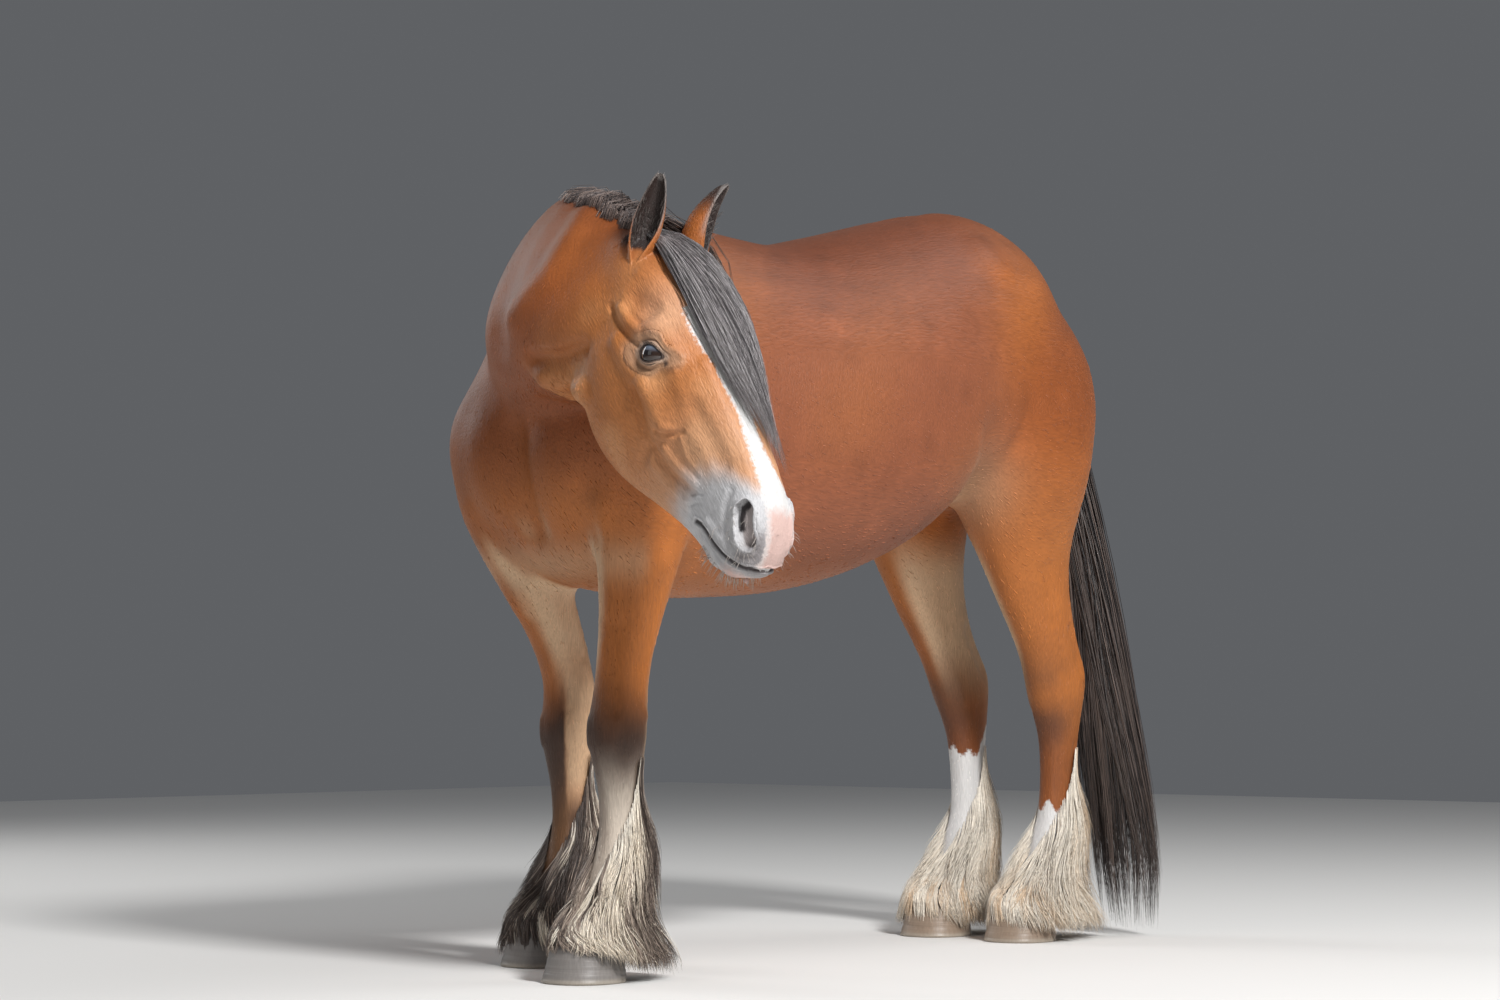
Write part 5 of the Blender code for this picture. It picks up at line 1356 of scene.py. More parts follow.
def tuft_tree():
    """Short tufts set on a skin, each turned to the lie of the coat."""
    tree, given = new_tree("Short tufts", "GeometryNodeTree", (
        ("Skin", "INPUT", "Geometry", None), ("Where", "INPUT", "String", ""),
        ("Per square metre", "INPUT", "Float", 3000.0), ("Length", "INPUT", "Float", 0.014),
        ("Width", "INPUT", "Float", 0.0013), ("Lift", "INPUT", "Float", 0.12), ("Seed", "INPUT", "Int", 5),
        ("Look", "INPUT", "Material", None), ("Tufts", "OUTPUT", "Geometry", None),
    ))

    def times(first, second):
        return maths(tree, "MULTIPLY", first, second)

    def named(name, kind):
        made = node(tree, "GeometryNodeInputNamedAttribute", {"Name": name}, data_type=kind)
        return made.outputs["Attribute"]

    def random(low, high, seed):
        given_range = {2: low, 3: high, "Seed": seed}
        return node(tree, "FunctionNodeRandomValue", given_range, data_type="FLOAT").outputs[1]

    def stored(geometry, name, kind, domain, value):
        sockets = {"Geometry": geometry, "Name": name, "Value": value}
        made = node(tree, "GeometryNodeStoreNamedAttribute", sockets, data_type=kind, domain=domain)
        return made.outputs[0]

    # One tuft: a cone of three sides, narrow at its root, flat and bent towards the skin
    sizes = {"Vertices": 3, "Side Segments": 3, "Radius Top": 0.0, "Radius Bottom": 1.0, "Depth": 1.0}
    cone = node(tree, "GeometryNodeMeshCone", sizes, fill_type="NGON").outputs["Mesh"]
    position = node(tree, "GeometryNodeInputPosition").outputs[0]
    x, y, along = node(tree, "ShaderNodeSeparateXYZ", {0: position}).outputs
    swell = times(maths(tree, "ADD", times(along, 1.6), 0.55), given["Width"])
    bent = times(times(along, along), times(given["Length"], -0.16))
    out = maths(tree, "ADD", times(times(y, swell), 0.5), bent)
    spot = {0: times(x, swell), 1: out, 2: times(along, given["Length"])}
    patch = {0: times(maths(tree, "ADD", x, 1.0), PATCH / 2), 1: times(along, PATCH)}
    spot, patch = (node(tree, "ShaderNodeCombineXYZ", parts).outputs[0] for parts in (spot, patch))
    tuft = stored(cone, "patch", "FLOAT_VECTOR", "POINT", patch)
    tuft = node(tree, "GeometryNodeSetPosition", {"Geometry": tuft, "Position": spot}).outputs[0]
    # Roots on the skin, thick where the given attribute says
    density = times(named(given["Where"], "FLOAT"), given["Per square metre"])
    sockets = {"Mesh": given["Skin"], "Density": density, "Seed": given["Seed"]}
    spread = node(tree, "GeometryNodeDistributePointsOnFaces", sockets, distribute_method="RANDOM").outputs
    # Painted light: tufts drawn lighter than the skin under them, to offset the shade between tuft and skin,
    # with a random spread of tone
    tint = vectors(tree, "MULTIPLY", named("shown", "FLOAT_COLOR"), random(0.95, 1.45, 11))
    roots = stored(spread["Points"], "tint", "FLOAT_COLOR", "POINT", tint)
    sockets = {0: spread["Normal"], "Scale": given["Lift"]}
    lifted = node(tree, "ShaderNodeVectorMath", sockets, operation="SCALE").outputs[0]
    way = vectors(tree, "ADD", named("lie", "FLOAT_VECTOR"), lifted)
    aim = node(tree, "FunctionNodeAlignRotationToVector", {"Vector": way}, axis="Z").outputs[0]
    sockets = {"Rotation": aim, "Vector": spread["Normal"]}
    roll = node(tree, "FunctionNodeAlignRotationToVector", sockets, axis="Y", pivot_axis="Z").outputs[0]
    size = times(named("tuft_size", "FLOAT"), random(0.65, 1.35, 12))
    sockets = {"Points": roots, "Instance": tuft, "Rotation": roll, "Scale": size}
    copies = node(tree, "GeometryNodeInstanceOnPoints", sockets).outputs[0]
    solid = node(tree, "GeometryNodeRealizeInstances", {0: copies}).outputs[0]
    place = vectors(tree, "ADD", named("OFBake", "FLOAT_VECTOR"), named("patch", "FLOAT_VECTOR"))
    mapped = stored(solid, "OFBake", "FLOAT2", "CORNER", place)
    look = node(tree, "GeometryNodeSetMaterial", {"Geometry": mapped, "Material": given["Look"]}).outputs[0]
    node(tree, "NodeGroupOutput", {0: look})
    return tree


def unwrapped(piece):
    """Gives a mesh the map OFBake, an unwrap of its own shape."""
    piece.data.uv_layers.new(name="OFBake")
    bpy.ops.object.select_all(action="DESELECT")
    piece.select_set(True)
    bpy.context.view_layer.objects.active = piece
    bpy.ops.object.mode_set(mode="EDIT")
    bpy.ops.mesh.select_all(action="SELECT")
    bpy.ops.uv.smart_project(angle_limit=math.radians(66), island_margin=0.001)
    bpy.ops.object.mode_set(mode="OBJECT")


def skin_lookup():
    """A tree of the finished skin in the horse's own places, and each face's OFBake place."""
    mesh = bpy.data.objects["skin"].data
    points = [Vector(p) for p in points_of(mesh) - SHIFT]
    tree = BVHTree.FromPolygons(points, [tuple(p.vertices) for p in mesh.polygons])
    uv = np.empty(len(mesh.loops) * 2)
    mesh.uv_layers["OFBake"].data.foreach_get("uv", uv)
    starts = np.empty(len(mesh.polygons), int)
    mesh.polygons.foreach_get("loop_start", starts)
    return tree, uv.reshape(-1, 2)[starts]


def root_places(lookup, roots):
    """The OFBake place of the skin nearest to each root."""
    tree, face_uv = lookup
    return np.array([face_uv[tree.find_nearest(Vector(root))[2]] for root in roots])


def face_height(x, y):
    """Height of the face over the head's middle axis at a place on it."""
    face, jaw, wide = (np.interp(x, HEAD[:, 0], HEAD[:, c]) for c in (1, 2, 3))
    middle = (face + jaw) / 2 + FACE_RISE
    return middle + (face - middle) * (1 - min(abs(y) / wide, 0.98) ** 2.5) ** 0.4


def feather_form(leg, heights, turns, share):
    """Places on a lower leg: share 0 lies on the leg, 1 on the outside of its feather."""
    kind, word = leg.split("_")
    side = SIDES[word]
    rows = limb_rows(leg)[::-1]
    hoof_x, hoof_y = HOOF_PLACE[kind][0] - STEP_BACK[leg], HOOF_PLACE[kind][1] * side
    middle_x, middle_y, long, wide = (np.interp(heights, rows[:, 0], rows[:, c]) for c in range(1, 5))
    low = eased(0.150 - heights, 0.0, 0.085)
    near_x, near_y = middle_x + (hoof_x - middle_x) * low, middle_y + (hoof_y - middle_y) * low
    long, wide = long + (HOOF_CLEAR[0] - long) * low, wide + (HOOF_CLEAR[1] - wide) * low
    drop = np.clip((0.38 - heights) / 0.36, 0, 1)
    sink = eased(0.26 - heights, 0.0, 0.20)
    far_x, far_y = middle_x + (hoof_x - 0.012 - middle_x) * sink, middle_y + (hoof_y - middle_y) * sink
    behind, aside = np.cos(turns), np.sin(turns)
    back = 0.040 + FEATHER_BEHIND[kind] * drop**1.1
    reach_x = np.where(behind > 0, back, 0.042 + FEATHER_AHEAD * drop**3.0)
    reach_y = np.where(aside > 0, 0.036 + FEATHER_OUTER * drop**2, 0.034 + FEATHER_INNER * drop**2)
    reach_x, reach_y = np.maximum(reach_x, long + 0.005), np.maximum(reach_y, wide + 0.005)
    near = np.stack([near_x - long * behind, near_y + side * wide * aside, heights], axis=-1)
    far = np.stack([far_x - reach_x * behind, far_y + side * reach_y * aside, heights], axis=-1)
    return near + (far - near) * share[..., None]


def feather_colours(leg, turns, heights, locks, random, cream):
    """Colours of the feather's strands at root and tip."""
    count = len(turns)
    light = 0.30 * random.normal(size=locks.max() + 1)[locks] + 0.18 * random.normal(size=count)
    if leg.startswith("hind"):
        tan = eased(0.24 - heights, 0.0, 0.12) * np.clip(0.38 + light, 0, 1)
        tan = np.maximum(tan, eased(np.cos(turns), 0.0, 0.8) * np.clip(0.5 + light, 0, 1))
        tint = mixed(np.repeat(cream[None], count, axis=0), (0.64, 0.42, 0.23), 0.80 * tan)
        tip = mixed(tint, (0.58, 0.48, 0.36), np.clip(0.15 + 0.4 * light, 0, 0.7))
        return tint * random.uniform(0.90, 1.08, (count, 1)), tip
    centre, width, low = FEATHER_LIGHT[leg]
    lit = np.exp(-((((np.degrees(turns) - centre + 180) % 360 - 180) / width) ** 2))
    level = (lit + low + light)[:, None]
    dark, middle = np.array((0.055, 0.038, 0.030)), np.array((0.23, 0.18, 0.145))
    tint = np.where(level > 0.80, cream * 0.97, np.where(level > 0.36, middle, dark))
    tint = tint * random.uniform(0.75, 1.25, (count, 1))
    return tint, np.where(level > 0.80, tint * (0.97, 0.90, 0.82), tint * 1.5)


# Settings

class CobSettings(bpy.types.PropertyGroup):
    coat_depth: bpy.props.FloatProperty(
        name="Coat depth", description="How far the skin lies inside the solids",
        default=0.0025, min=0.0, max=0.01, unit="LENGTH",
    )
    hair_colour: bpy.props.FloatVectorProperty(
        name="Hair colour", description="Darkest colour of mane and tail",
        default=(0.012, 0.009, 0.009), min=0, max=1, subtype="COLOR",
    )
    hair_sheen_colour: bpy.props.FloatVectorProperty(
        name="Hair highlights", description="Lightest colour among mane and tail",
        default=(0.085, 0.062, 0.052), min=0, max=1, subtype="COLOR",
    )
    feather_colour: bpy.props.FloatVectorProperty(
        name="Feather colour", description="Cream of the leg feather",
        default=(0.82, 0.76, 0.66), min=0, max=1, subtype="COLOR",
    )
    tail_strands: bpy.props.IntProperty(
        name="Tail strands", description="Number of strands in the tail", default=2300, min=100, max=2900,
    )
    mane_strands: bpy.props.IntProperty(
        name="Mane strands", description="Number of strands in the mane", default=3400, min=100, max=4300,
    )
    forelock_strands: bpy.props.IntProperty(
        name="Forelock strands", description="Number of strands in the forelock",
        default=3000, min=100, max=3500,
    )
    feather_strands: bpy.props.IntProperty(
        name="Feather strands", description="Number of strands on each lower leg",
        default=5000, min=100, max=6200,
    )
    body_tufts: bpy.props.FloatProperty(
        name="Body tufts", description="Short tufts per square metre where they stand thickest",
        default=3900.0, min=0.0, max=6000.0,
    )
    face_tufts: bpy.props.FloatProperty(
        name="Face tufts", description="Short tufts per square metre of head and ears",
        default=26000.0, min=0.0, max=40000.0,
    )


class COB_OT_skin(bpy.types.Operator):
    """Makes the skin of head, neck, trunk, legs and ears in one piece"""
    bl_idname = "cob.skin"
    bl_label = "Make skin"

    def execute(self, context):
        skin = joined("skin", [trunk(), neck(), head_flesh()] + [limb(leg) for leg in STEP_BACK])
        modifier = skin.modifiers.new("flesh", "REMESH")
        modifier.mode = "VOXEL"
        modifier.voxel_size = SKIN_VOXEL
        modifier.adaptivity = 0.0
        evaluated(skin)
        smooth(skin, SMOOTH_ROUNDS, skin_smoothing)
        sculpted(skin, body_strokes())
        smooth(skin, 3, skin_smoothing)
        refined(skin, lambda middles: near_head(middles, -0.02) | low_on_leg(middles))
        smooth(skin, 3, lambda points: np.full(len(points), 0.4))
        refined(skin, near_face_forms)
        refined(skin, near_openings)
        smooth(skin, 4, lambda points: 0.45 * near_head(points, 0.0))
        sculpted(skin, leg_strokes())
        points, normals = points_of(skin.data), normals_of(skin.data)
        depth = context.scene.cob.coat_depth * np.where(near_openings(points), 0.25, 1.0)
        set_points(skin.data, points - normals * depth[:, None])
        sculpted(skin, head_strokes())
        smooth(skin, 1, lambda points: 0.35 * near_openings(points))
        modifier = skin.modifiers.new("fewer", "DECIMATE")
        modifier.ratio = min(1.0, SKIN_TRIANGLES / sum(len(p.vertices) - 2 for p in skin.data.polygons))
        modifier.use_collapse_triangulate = True
        evaluated(skin)
        fused(skin, [ear("left"), ear("right"), lids(1), lids(-1)])
        mesh = skin.data
        points, normals = points_of(mesh), normals_of(mesh)
        tint = coat_colours(points, normals)
        add_colour(mesh, "tint", tint)
        add_colour(mesh, "shown", shown_colours(points, tint))
        places = in_head(points)
        on_head = eased(places[:, 0], 0.0, 0.06) * (np.abs(places[:, 2]) < 0.25)
        on_leg = eased(0.85 - points[:, 2], 0.0, 0.15)
        values = (white_edge(points), pink_share(points), on_head, on_leg, *tuft_shares(points, normals))
        for name, value in zip(SKIN_VALUES, values):
            made = mesh.attributes.new(name, "FLOAT", "POINT")
            made.data.foreach_set("value", np.asarray(value, np.float32))
        lie = mesh.attributes.new("lie", "FLOAT_VECTOR", "POINT")
        lie.data.foreach_set("vector", lie_of_coat(points, normals).astype(np.float32).ravel())
        set_points(mesh, points + SHIFT)
        unwrapped(skin)
        skin.data.shade_smooth()
        skin.data.materials.clear()
        skin.data.materials.append(skin_material(hair_grain_group()))
        legs = [f"leg_{leg}" for leg in STEP_BACK]
        finish_piece(skin, ["torso", "head", "neck", "ear_left", "ear_right"] + legs)
        return {"FINISHED"}


class COB_OT_eyes(bpy.types.Operator):
    """Makes the two eyeballs with iris, pupil and a bulging front"""
    bl_idname = "cob.eyes"
    bl_label = "Make eyes"

    def execute(self, context):
        look = eye_material()
        for word, side in SIDES.items():
            out, along_way, over_way = eye_axes(side)
            centre = eye_middle(side)
            turn = np.linspace(0, 2 * math.pi, 96, endpoint=False)
            spokes = np.cos(turn)[:, None] * along_way + np.sin(turn)[:, None] * over_way
            rings = []
            for polar in np.linspace(0.001, math.pi - 0.001, 64):
                size = EYE_RADIUS * 0.975 * (1 + 0.020 * eased(0.95 - polar, 0.0, 0.95))
                rings.append(head_place(centre + size * (math.cos(polar) * out + math.sin(polar) * spokes)))
            ball = loft(f"eyeball_{word}", rings)
            off = unit(in_head(points_of(ball.data)) - centre)
            along, over = off @ along_way, off @ over_way
            ring = np.hypot(along, over) + (off @ out < 0)
            pupil = np.hypot(along / 0.40, over / 0.17)
            tint = np.repeat(np.array([[0.026, 0.014, 0.010]]), len(ring), axis=0)
            for colour, share in (
                # Painted reflection: the upper part of the eye blue grey, as the bright space above shows in
                # the wet eye
                ((0.150, 0.180, 0.235), 0.90 * eased(over - 0.30 * along, -0.05, 0.45)),
                ((0.004, 0.003, 0.004), 0.85 * eased(1.15 - pupil, 0.0, 0.3)),
                ((0.010, 0.007, 0.007), eased(ring, 0.80, 0.92)),
                ((0.20, 0.13, 0.11), eased(ring, 0.95, 0.99)),
            ):
                tint = mixed(tint, colour, share)
            dressed(ball, tint, look, [f"eye_{word}"])
        return {"FINISHED"}


class COB_OT_hooves(bpy.types.Operator):
    """Makes the four hooves of horn"""
    bl_idname = "cob.hooves"
    bl_label = "Make hooves"

    def execute(self, context):
        look = horn_material()
        along, across = oval(72, 2.2, 2.2)
        top = CORONET_HEIGHT + CORONET_SLOPE * 0.06 * along
        for leg, back in STEP_BACK.items():
            kind, word = leg.split("_")
            x, y = HOOF_PLACE[kind][0] - back, HOOF_PLACE[kind][1] * SIDES[word]
            rings = []
            for share, long, wide, shift in through(HOOF_RINGS, 4):
                share, ripple = max(share, 0.0), 0.0005 * math.sin(share * 46)
                ring_x, ring_y = x + shift + (long + ripple) * along, y + (wide + ripple) * across
                rings.append(np.column_stack([ring_x, ring_y, top * share]))
            horn = loft(f"horn_{leg}", rings)
            share = points_of(horn.data)[:, 2] / CORONET_HEIGHT
            pale = np.array(HORN_PALE[kind])
            tint = np.repeat(pale[None], len(share), axis=0)
            tint = mixed(tint, (0.52, 0.46, 0.38), 0.7 * eased(0.16 - share, 0.0, 0.12))
            tint = mixed(tint, pale * 0.55, 0.6 * eased(share, 0.6, 1.0))
            dressed(horn, tint, look, [f"hoof_{leg}"])
        return {"FINISHED"}


class COB_OT_tail(bpy.types.Operator):
    """Makes the long hair of the tail and the bone under it"""
    bl_idname = "cob.tail"
    bl_label = "Make tail hair"

    def execute(self, context):
        settings = context.scene.cob
        random = np.random.default_rng(SEED)
        outline, bone = through(TAIL_HAIR, 6)[::-1], through(DOCK, 6)
        steps, locks = 12, 110
        guides, facing = np.zeros((2, locks, steps, 3))
        for i in range(locks):
            root = bone[int(4 + (i + 0.5) / locks * (len(bone) - 7))]
            turn = i * GOLDEN_TURN
            start = root[:2] + root[3] * 0.7 * np.array([math.cos(turn), math.sin(turn)])
            reach = math.sqrt((i * 0.618) % 1) * 0.80 + 0.12
            tip = 0.016 + 0.46 * random.random() ** 3
            for k, share in enumerate(np.linspace(0, 1, steps)):
                height = root[2] + (tip - root[2]) * share
                x, y, long, wide = (np.interp(height, outline[:, 2], outline[:, c]) for c in (0, 1, 3, 4))
                grow = eased(share, -0.05, 0.30) * reach
                twist = turn + 0.9 * share * (1 if i % 2 else -1)
                spot = np.array([x + grow * long * math.cos(twist), y + grow * wide * math.sin(twist)])
                hold = 1 - eased(share, 0.0, 0.16)
                guides[i, k] = (*(spot * (1 - hold) + start * hold), height)
                facing[i, k] = (math.cos(twist), math.sin(twist), 0.05)
        look = hair_material("tail_strands", 0.42, 0.1)
        tints = (settings.hair_colour, np.array(settings.hair_sheen_colour), 0.08)
        hung_hair("tail_hair", look, skin_lookup(), guides, facing, settings.tail_strands, SEED + 1,
                  (0.014, 0.022, 0.004), (0.004, 0.25), 0.0012, tints, (1, 1.6))
        core = []
        angle = np.linspace(0, 2 * math.pi, 20, endpoint=False)
        for x, y, z, thick in bone[3:]:
            ring = [x + thick * 0.8 * np.cos(angle), y + thick * 0.8 * np.sin(angle), np.full_like(angle, z)]
            core.append(np.column_stack(ring))
        dock = loft("tail_bone", core)
        shade = np.array(settings.hair_colour) * 1.2
        tint = np.repeat(shade[None], len(dock.data.vertices), axis=0)
        dressed(dock, tint, look, ["tail"])
        return {"FINISHED"}


class COB_OT_mane(bpy.types.Operator):
    """Makes the mane that falls to the neck's left"""
    bl_idname = "cob.mane"
    bl_label = "Make mane"

    def execute(self, context):
        settings = context.scene.cob
        random = np.random.default_rng(SEED + 10)
        lookup = skin_lookup()
        crest, left = crest_line()
        steps, locks = 9, 150
        guides, facing = np.zeros((2, locks, steps, 3))
        for i in range(locks):
            index = MANE_FIRST + (MANE_LAST - MANE_FIRST) * (i + random.uniform(-0.4, 0.4)) / locks
            low = int(np.clip(index, 0, len(crest) - 2))
            part = index - low
            root = crest[low] * (1 - part) + crest[low + 1] * part
            side = unit(left[low] * (1 - part) + left[low + 1] * part)
            ahead = np.array([side[1], -side[0], 0])
            across = random.uniform(-0.022, 0.018)
            spot = Vector(root + side * across + (0, 0, 0.1))
            hit = lookup[0].ray_cast(spot, Vector((0, 0, -1)), 0.3)[0]
            top = hit.z if hit is not None else root[2]
            length = 0.38 * random.uniform(0.75, 1.05) * (1 - 0.20 * eased(i / locks, 0.7, 1.0))
            lift = 0.004 + eased(index, 26, 52) * random.uniform(0.008, 0.026)
            drift = random.uniform(-0.04, 0.05)
            clear, reach = random.uniform(0.006, 0.040), 0.02
            clear *= 1 + 1.6 * eased(i / locks, 0.72, 0.95)
            # Out of the crest and over it, then down beside the neck
            rise = ((across, -0.004), (across + 0.008, lift * 0.75), (across * 0.5 + 0.034, lift))
            for k, share in enumerate(np.linspace(0, 1, steps)):
                if k < len(rise):
                    place = root + side * rise[k][0]
                    place[2] = top + rise[k][1]
                else:
                    height = top + lift - length * (k - 2.3) / (steps - 3.3)
                    start = Vector((root[0], root[1], height)) + Vector(side) * 0.5
                    found, _, _, distance = lookup[0].ray_cast(start, Vector(-side), 0.62)
                    if found is not None:
                        reach = max(0.5 - distance, reach * 0.94)
                    out = max(reach, 0.04) + 0.006 + clear * min(1.0, 0.5 + share)
                    place = np.array([root[0], root[1], height]) + side * out
                guides[i, k] = place + ahead * drift * share**2
                up = max(0.0, 1.3 - 0.45 * k)
                facing[i, k] = unit(side * min(1.0, 0.25 * k) + np.array([0, 0, up + 0.05]))
        look = hair_material("mane_strands", 0.42, 0.1)
        tints = (settings.hair_colour, np.array(settings.hair_sheen_colour), 0.10)
        # Painted sheen: the roots drawn several times lighter than the tips, where the light catches the
        # mane along the crest
        hung_hair("mane_hair", look, lookup, guides, facing, settings.mane_strands, SEED + 11,
                  (0.014, 0.020, 0.006), (0.003, 0.30), 0.00085, tints, (4.2, 1))
        return {"FINISHED"}


class COB_OT_forelock(bpy.types.Operator):
    """Makes the forelock, over the brow and down the left of the face"""
    bl_idname = "cob.forelock"
    bl_label = "Make forelock"

    def execute(self, context):
        random = np.random.default_rng(SEED + 20)
        rows = through(FORELOCK_PATH, 6)
        steps, locks = 10, 90
        guides, facing = np.zeros((2, locks, steps, 3))
        axes = head_axes() / HEAD_SCALE
        for i in range(locks):
            aside = -1 + 2 * (i + 0.5) / locks
            long = random.uniform(0.70, 1.0) * (1 - 0.12 * abs(aside))
            lift = random.uniform(0.002, 0.012) + 0.014 * max(aside, 0.0)
            for k in range(steps):
                share = k / (steps - 1) * long * (len(rows) - 1)
                low = min(int(share), len(rows) - 2)
                x, y, z, half = rows[low] + (rows[low + 1] - rows[low]) * (share - low)
                y += half * aside
                z = z + face_height(x, y) + (lift * min(1.0, 0.4 + 0.3 * k) if k else -0.004)
                guides[i, k] = head_place((x, y, z))
                facing[i, k] = axes[2] + 5.0 * y * axes[1]
        look = hair_material("forelock_strands", 0.34, 0.2)
        count = context.scene.cob.forelock_strands
        hung_hair("forelock_hair", look, skin_lookup(), guides, facing, count, SEED + 21,
                  (0.006, 0.008, 0.004), (0.0025, 0.35), 0.00062, FORELOCK_TINTS, (1, 1.3))
        return {"FINISHED"}


class COB_OT_feather(bpy.types.Operator):
    """Makes the long hair of the four lower legs"""
    bl_idname = "cob.feather"
    bl_label = "Make leg feather"

    def execute(self, context):
        settings = context.scene.cob
        look = hair_material("feather_strands", 0.55, 0.2)
        lookup = skin_lookup()
        cream = np.array(settings.feather_colour)
        count, steps, locks = settings.feather_strands, 6, 230
        share = np.linspace(0, 1, steps)
        for number, leg in enumerate(STEP_BACK):
            random = np.random.default_rng(SEED + 30 + number)

            def rooted(amount, reach, power):
                """Heights and angles round the leg of so many roots."""
                height = 0.082 + reach * random.random(amount) ** power
                widest = np.radians(180 - 105 * eased(height, 0.15, 0.38))
                return height, widest * (2 * random.random(amount) - 1)

            root, turn = rooted(count, 0.315, 1.35)
            lock_root, lock_turn = rooted(locks, 0.30, 1.3)
            gap = ((turn[:, None] - lock_turn) / 0.30) ** 2 + ((root[:, None] - lock_root) / 0.05) ** 2
            pick = gap.argmin(axis=1)
            back = (1 + np.cos(turn)) / 2
            length = (0.075 + 0.150 * back) * (0.80 + 0.32 * random.random(locks)[pick])
            length *= 1 - 0.35 * random.random(count) ** 2
            floor = 0.008 + 0.020 * random.random(count) + FEATHER_FRONT_TIP[leg] * (1 - back) ** 1.5
            tip = np.minimum(np.maximum(floor, root - length), root - 0.02)
            heights = root[:, None] + (tip - root)[:, None] * share
            drift = 0.20 * random.normal(size=locks)[pick] + 0.05 * random.normal(size=count)
            turns = turn[:, None] + drift[:, None] * share**1.5
            high, below = 0.50 + 0.50 * random.random(count), 0.12 + 0.85 * random.random(count)
            layer = np.where(root > 0.16, high, below)
            layer *= 0.90 + 0.20 * random.random(locks)[pick]
            grown = np.clip(eased(share, -0.15, 0.85) * layer[:, None], 0.02, 1.1)
            paths = feather_form(leg, heights, turns, grown)
            paths[:, 0] = feather_form(leg, root, turn, np.full(count, -0.04))
            # Strands are drawn sideways towards the middle of their lock
            middle = np.zeros((locks, steps, 3))
            np.add.at(middle, pick, paths)
            middle /= np.maximum(np.bincount(pick, minlength=locks), 1)[:, None, None]
            drawn = paths + (middle[pick] - paths) * (0.36 * share**1.5)[:, None]
            drawn[..., 2] = paths[..., 2]
            drawn += random.normal(size=(count, 1, 3)) * 0.0025 * share[:, None]
            drawn[..., 2] = np.maximum(drawn[..., 2], FEATHER_OFF_FLOOR)
            side = SIDES[leg.split("_")[1]]
            facing = np.stack([-np.cos(turns), side * np.sin(turns), np.full(turns.shape, 0.35)], axis=-1)
            wide = taper(count, steps, 0.00095, SEED + 50 + number, 0.5)
            tint, end = feather_colours(leg, turn, root, pick, random, cream)
            strand_piece(f"feather_{leg}", look, lookup, drawn, wide, facing, tint, end)
        return {"FINISHED"}


class COB_OT_tufts(bpy.types.Operator):
    """Sets short tufts of hair on the skin along the lie of the coat"""
    bl_idname = "cob.tufts"
    bl_label = "Make short tufts"

    def execute(self, context):
        settings = context.scene.cob
        tree = tuft_tree()
        look = hair_material("tuft_strands", 0.50, 0.1)
        skin = bpy.data.objects["skin"]
        for name, density, wide, lift in (
            ("body_tufts", settings.body_tufts, 0.0012, 0.06),
            ("face_tufts", settings.face_tufts, 0.0011, 0.12),
        ):
            piece = bpy.data.objects.new(name, skin.data.copy())
            context.scene.collection.objects.link(piece)
            modifier = piece.modifiers.new("tufts", "NODES")
            modifier.node_group = tree
            values = {
                "Where": name, "Per square metre": density, "Length": 0.0130, "Width": wide,
                "Lift": lift, "Seed": SEED, "Look": look,
            }
            for item in tree.interface.items_tree:
                if item.name in values:
                    modifier[item.identifier] = values[item.name]
            mesh = evaluated(piece).data
            mesh.name = name
            if not len(mesh.polygons):
                raise RuntimeError(f"{name} has no tufts")
            for extra in ("shown", "lie", "patch", *SKIN_VALUES):
                found = mesh.attributes.get(extra)
                if found:
                    mesh.attributes.remove(found)
            mesh.shade_smooth()
            finish_piece(piece)
        return {"FINISHED"}


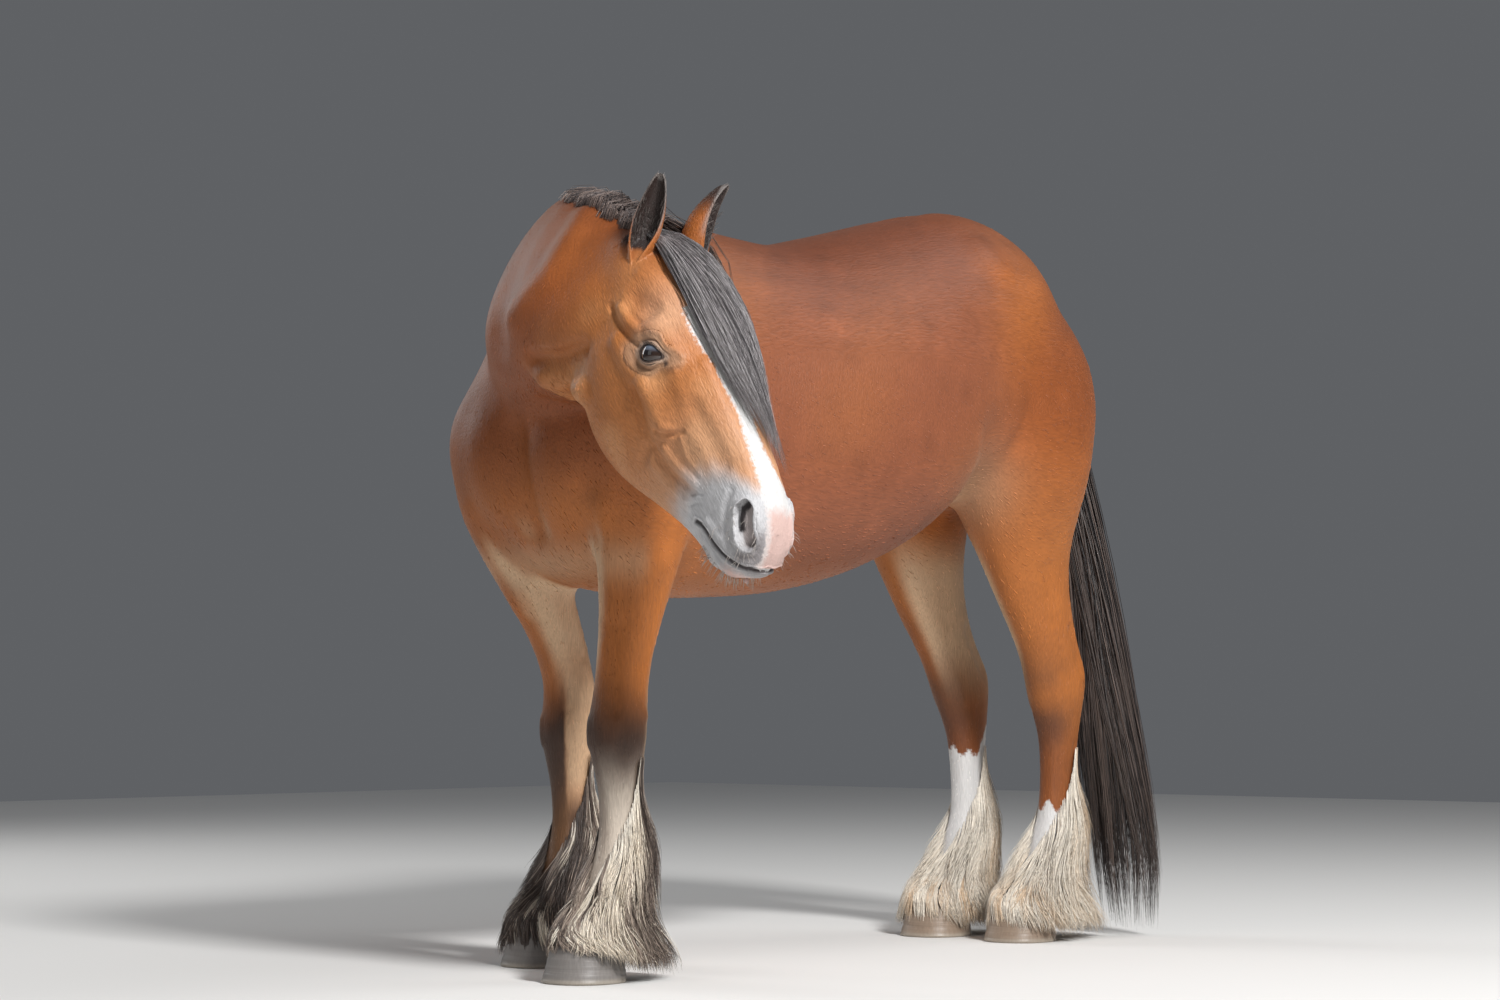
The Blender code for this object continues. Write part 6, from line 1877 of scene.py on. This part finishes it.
class COB_OT_fine_hair(bpy.types.Operator):
    """Makes the lashes, the whiskers of chin and nose and the hair in the ears"""
    bl_idname = "cob.fine_hair"
    bl_label = "Make lashes and whiskers"

    def execute(self, context):
        random = np.random.default_rng(SEED + 60)
        lookup = skin_lookup()
        axes = head_axes() / HEAD_SCALE
        roots, ways, lengths, tints = [], [], [], []

        def add(place, way, long, tint):
            roots.append(head_place(place))
            ways.append(unit(np.array(way) @ axes))
            lengths.append(long)
            tints.append(tint)

        def whisker(place, out, lean, long, tint):
            """A hair on the skin nearest to a place, out of it and leaning."""
            spot, normal = lookup[0].find_nearest(Vector(head_place(place)))[:2]
            way = np.array(normal) @ axes.T * out + lean + random.normal(size=3) * 0.25
            add(in_head(np.array(spot)[None])[0], way, random.uniform(*long), tint)

        for word, side in SIDES.items():
            out, along_way, over_way = eye_axes(side)
            for i in range(46):
                t = math.radians(28 + 132 * (i + random.uniform(-0.3, 0.3)) / 46)
                high = lid_height(EYE_LONG * math.cos(t), 1.0) * 1.15 * math.sin(t)
                flat = EYE_LONG * 1.08 * math.cos(t) * along_way + high * over_way
                depth = math.sqrt(max(EYE_RADIUS**2 - flat @ flat, 0.00004)) + 0.002
                way = 0.6 * out + 0.30 * over_way + 0.45 * math.cos(t) * along_way
                place = eye_middle(side) + flat + out * depth
                add(place, way, random.uniform(0.005, 0.009), (0.03, 0.02, 0.018))
            for i in range(70):
                place = (random.uniform(0.500, 0.590), side * random.uniform(0.0, 0.040), -0.075)
                whisker(place, 1.0, (0.25, 0, -0.2), (0.010, 0.024), (0.42, 0.38, 0.34))
            for i in range(36):
                place = (random.uniform(0.500, 0.595), side * 0.055, random.uniform(-0.045, 0.04))
                whisker(place, 0.8, (0.5, 0, -0.3), (0.008, 0.020), (0.38, 0.34, 0.31))
            base, lean, opening, side_way = ear_frame(word)
            for i in range(260):
                share = 0.04 + 0.62 * random.random()
                turn = math.radians(random.uniform(-115, 115))
                radius = np.interp(share, *np.array(EAR_STATIONS).T[:2]) * EAR_WIDE[word] - EAR_WALL - 0.001
                spoke = math.cos(turn) * opening - math.sin(turn) * side_way
                place = base + lean * share * EAR_LENGTH / HEAD_SCALE - radius * spoke
                way = lean * 1.2 + opening * 0.35 - spoke * 0.1 + random.normal(size=3) * 0.12
                shade = random.uniform(0.05, 0.20)
                add(place, way, random.uniform(0.012, 0.024), (shade, shade * 0.86, shade * 0.78))
        count, steps = len(roots), 5
        share = np.linspace(0, 1, steps)
        lengths = np.array(lengths)[:, None]
        paths = np.array(roots)[:, None] + np.array(ways)[:, None] * (lengths * share)[..., None]
        paths[..., 2] -= lengths * 0.25 * share**2
        facing = np.broadcast_to((0.3, 0.2, 0.9), paths.shape)
        wide = taper(count, steps, 0.00045, SEED + 61)
        look, tint = hair_material("whisker_strands", 0.45, 0.0), np.array(tints)
        strand_piece("fine_hair", look, lookup, paths, wide, facing, tint, tint, 1.0)
        return {"FINISHED"}


class COB_OT_stage(bpy.types.Operator):
    """Makes the floor, the studio lights and the camera"""
    bl_idname = "cob.stage"
    bl_label = "Make stage"

    def execute(self, context):
        scene = context.scene
        floor = mesh_object("studio_floor", [(-9, -9, 0), (9, -9, 0), (9, 9, 0), (-9, 9, 0)], [(0, 1, 2, 3)])
        constants = {"Roughness": 0.85, "Base Color": (0.80, 0.79, 0.77, 1)}
        floor.data.materials.append(new_material("studio_floor", constants)[0])
        scene.world = bpy.data.worlds.new("studio")
        scene.world.use_nodes = True
        backdrop = scene.world.node_tree.nodes["Background"].inputs
        backdrop["Color"].default_value = (0.72, 0.75, 0.80, 1)
        backdrop["Strength"].default_value = 0.16

        def placed(name, data, place, way):
            made = bpy.data.objects.new(name, data)
            made.location = place
            made.rotation_euler = way.to_track_quat("-Z", "Y").to_euler()
            scene.collection.objects.link(made)
            return made

        for name, place, size, power in (
            ("key_light", (2.2, 5.4, 4.8), 1.1, 620),
            ("side_light", (5.6, -0.5, 2.2), 2.6, 16),
            ("back_light", (-3.0, 1.5, 5.0), 2.4, 60),
            ("right_light", (0.5, -5.8, 3.2), 3.0, 90),
        ):
            lamp = bpy.data.lights.new(name, "AREA")
            lamp.size, lamp.energy = size, power
            placed(name, lamp, place, Vector((0.0, 0.0, 0.75)) - Vector(place))
        lens = bpy.data.cameras.new("photo_camera")
        lens.sensor_width, lens.lens = 36.0, 82.8
        pitch, turn = math.radians(3.15), math.radians(48)
        way = Vector((-math.sin(turn) * math.cos(pitch), -math.cos(turn) * math.cos(pitch), math.sin(pitch)))
        scene.camera = placed("photo_camera", lens, Vector((5.0476, 4.4817, 0.516)) + Vector(SHIFT), way)
        scene.view_settings.view_transform = "Standard"
        return {"FINISHED"}


class COB_PT_panel(bpy.types.Panel):
    bl_label = "Gypsy vanner cob"
    bl_idname = "COB_PT_panel"
    bl_space_type = "VIEW_3D"
    bl_region_type = "UI"
    bl_category = "Cob"

    def draw(self, context):
        for operator in OPERATORS:
            self.layout.operator(operator.bl_idname)
        for name in CobSettings.__annotations__:
            self.layout.prop(context.scene.cob, name)


OPERATORS = (
    COB_OT_stage, COB_OT_skin, COB_OT_eyes, COB_OT_hooves, COB_OT_tail, COB_OT_mane,
    COB_OT_forelock, COB_OT_feather, COB_OT_tufts, COB_OT_fine_hair,
)


def register():
    for item in (CobSettings, *OPERATORS, COB_PT_panel):
        bpy.utils.register_class(item)
    bpy.types.Scene.cob = bpy.props.PointerProperty(type=CobSettings)


def unregister():
    del bpy.types.Scene.cob
    for item in reversed((CobSettings, *OPERATORS, COB_PT_panel)):
        bpy.utils.unregister_class(item)


def main():
    register()
    bpy.ops.cob.stage()
    bpy.ops.cob.skin()
    bpy.ops.cob.eyes()
    bpy.ops.cob.hooves()
    bpy.ops.cob.tail()
    bpy.ops.cob.mane()
    bpy.ops.cob.forelock()
    bpy.ops.cob.feather()
    bpy.ops.cob.tufts()
    bpy.ops.cob.fine_hair()


if __name__ == "__main__":
    main()
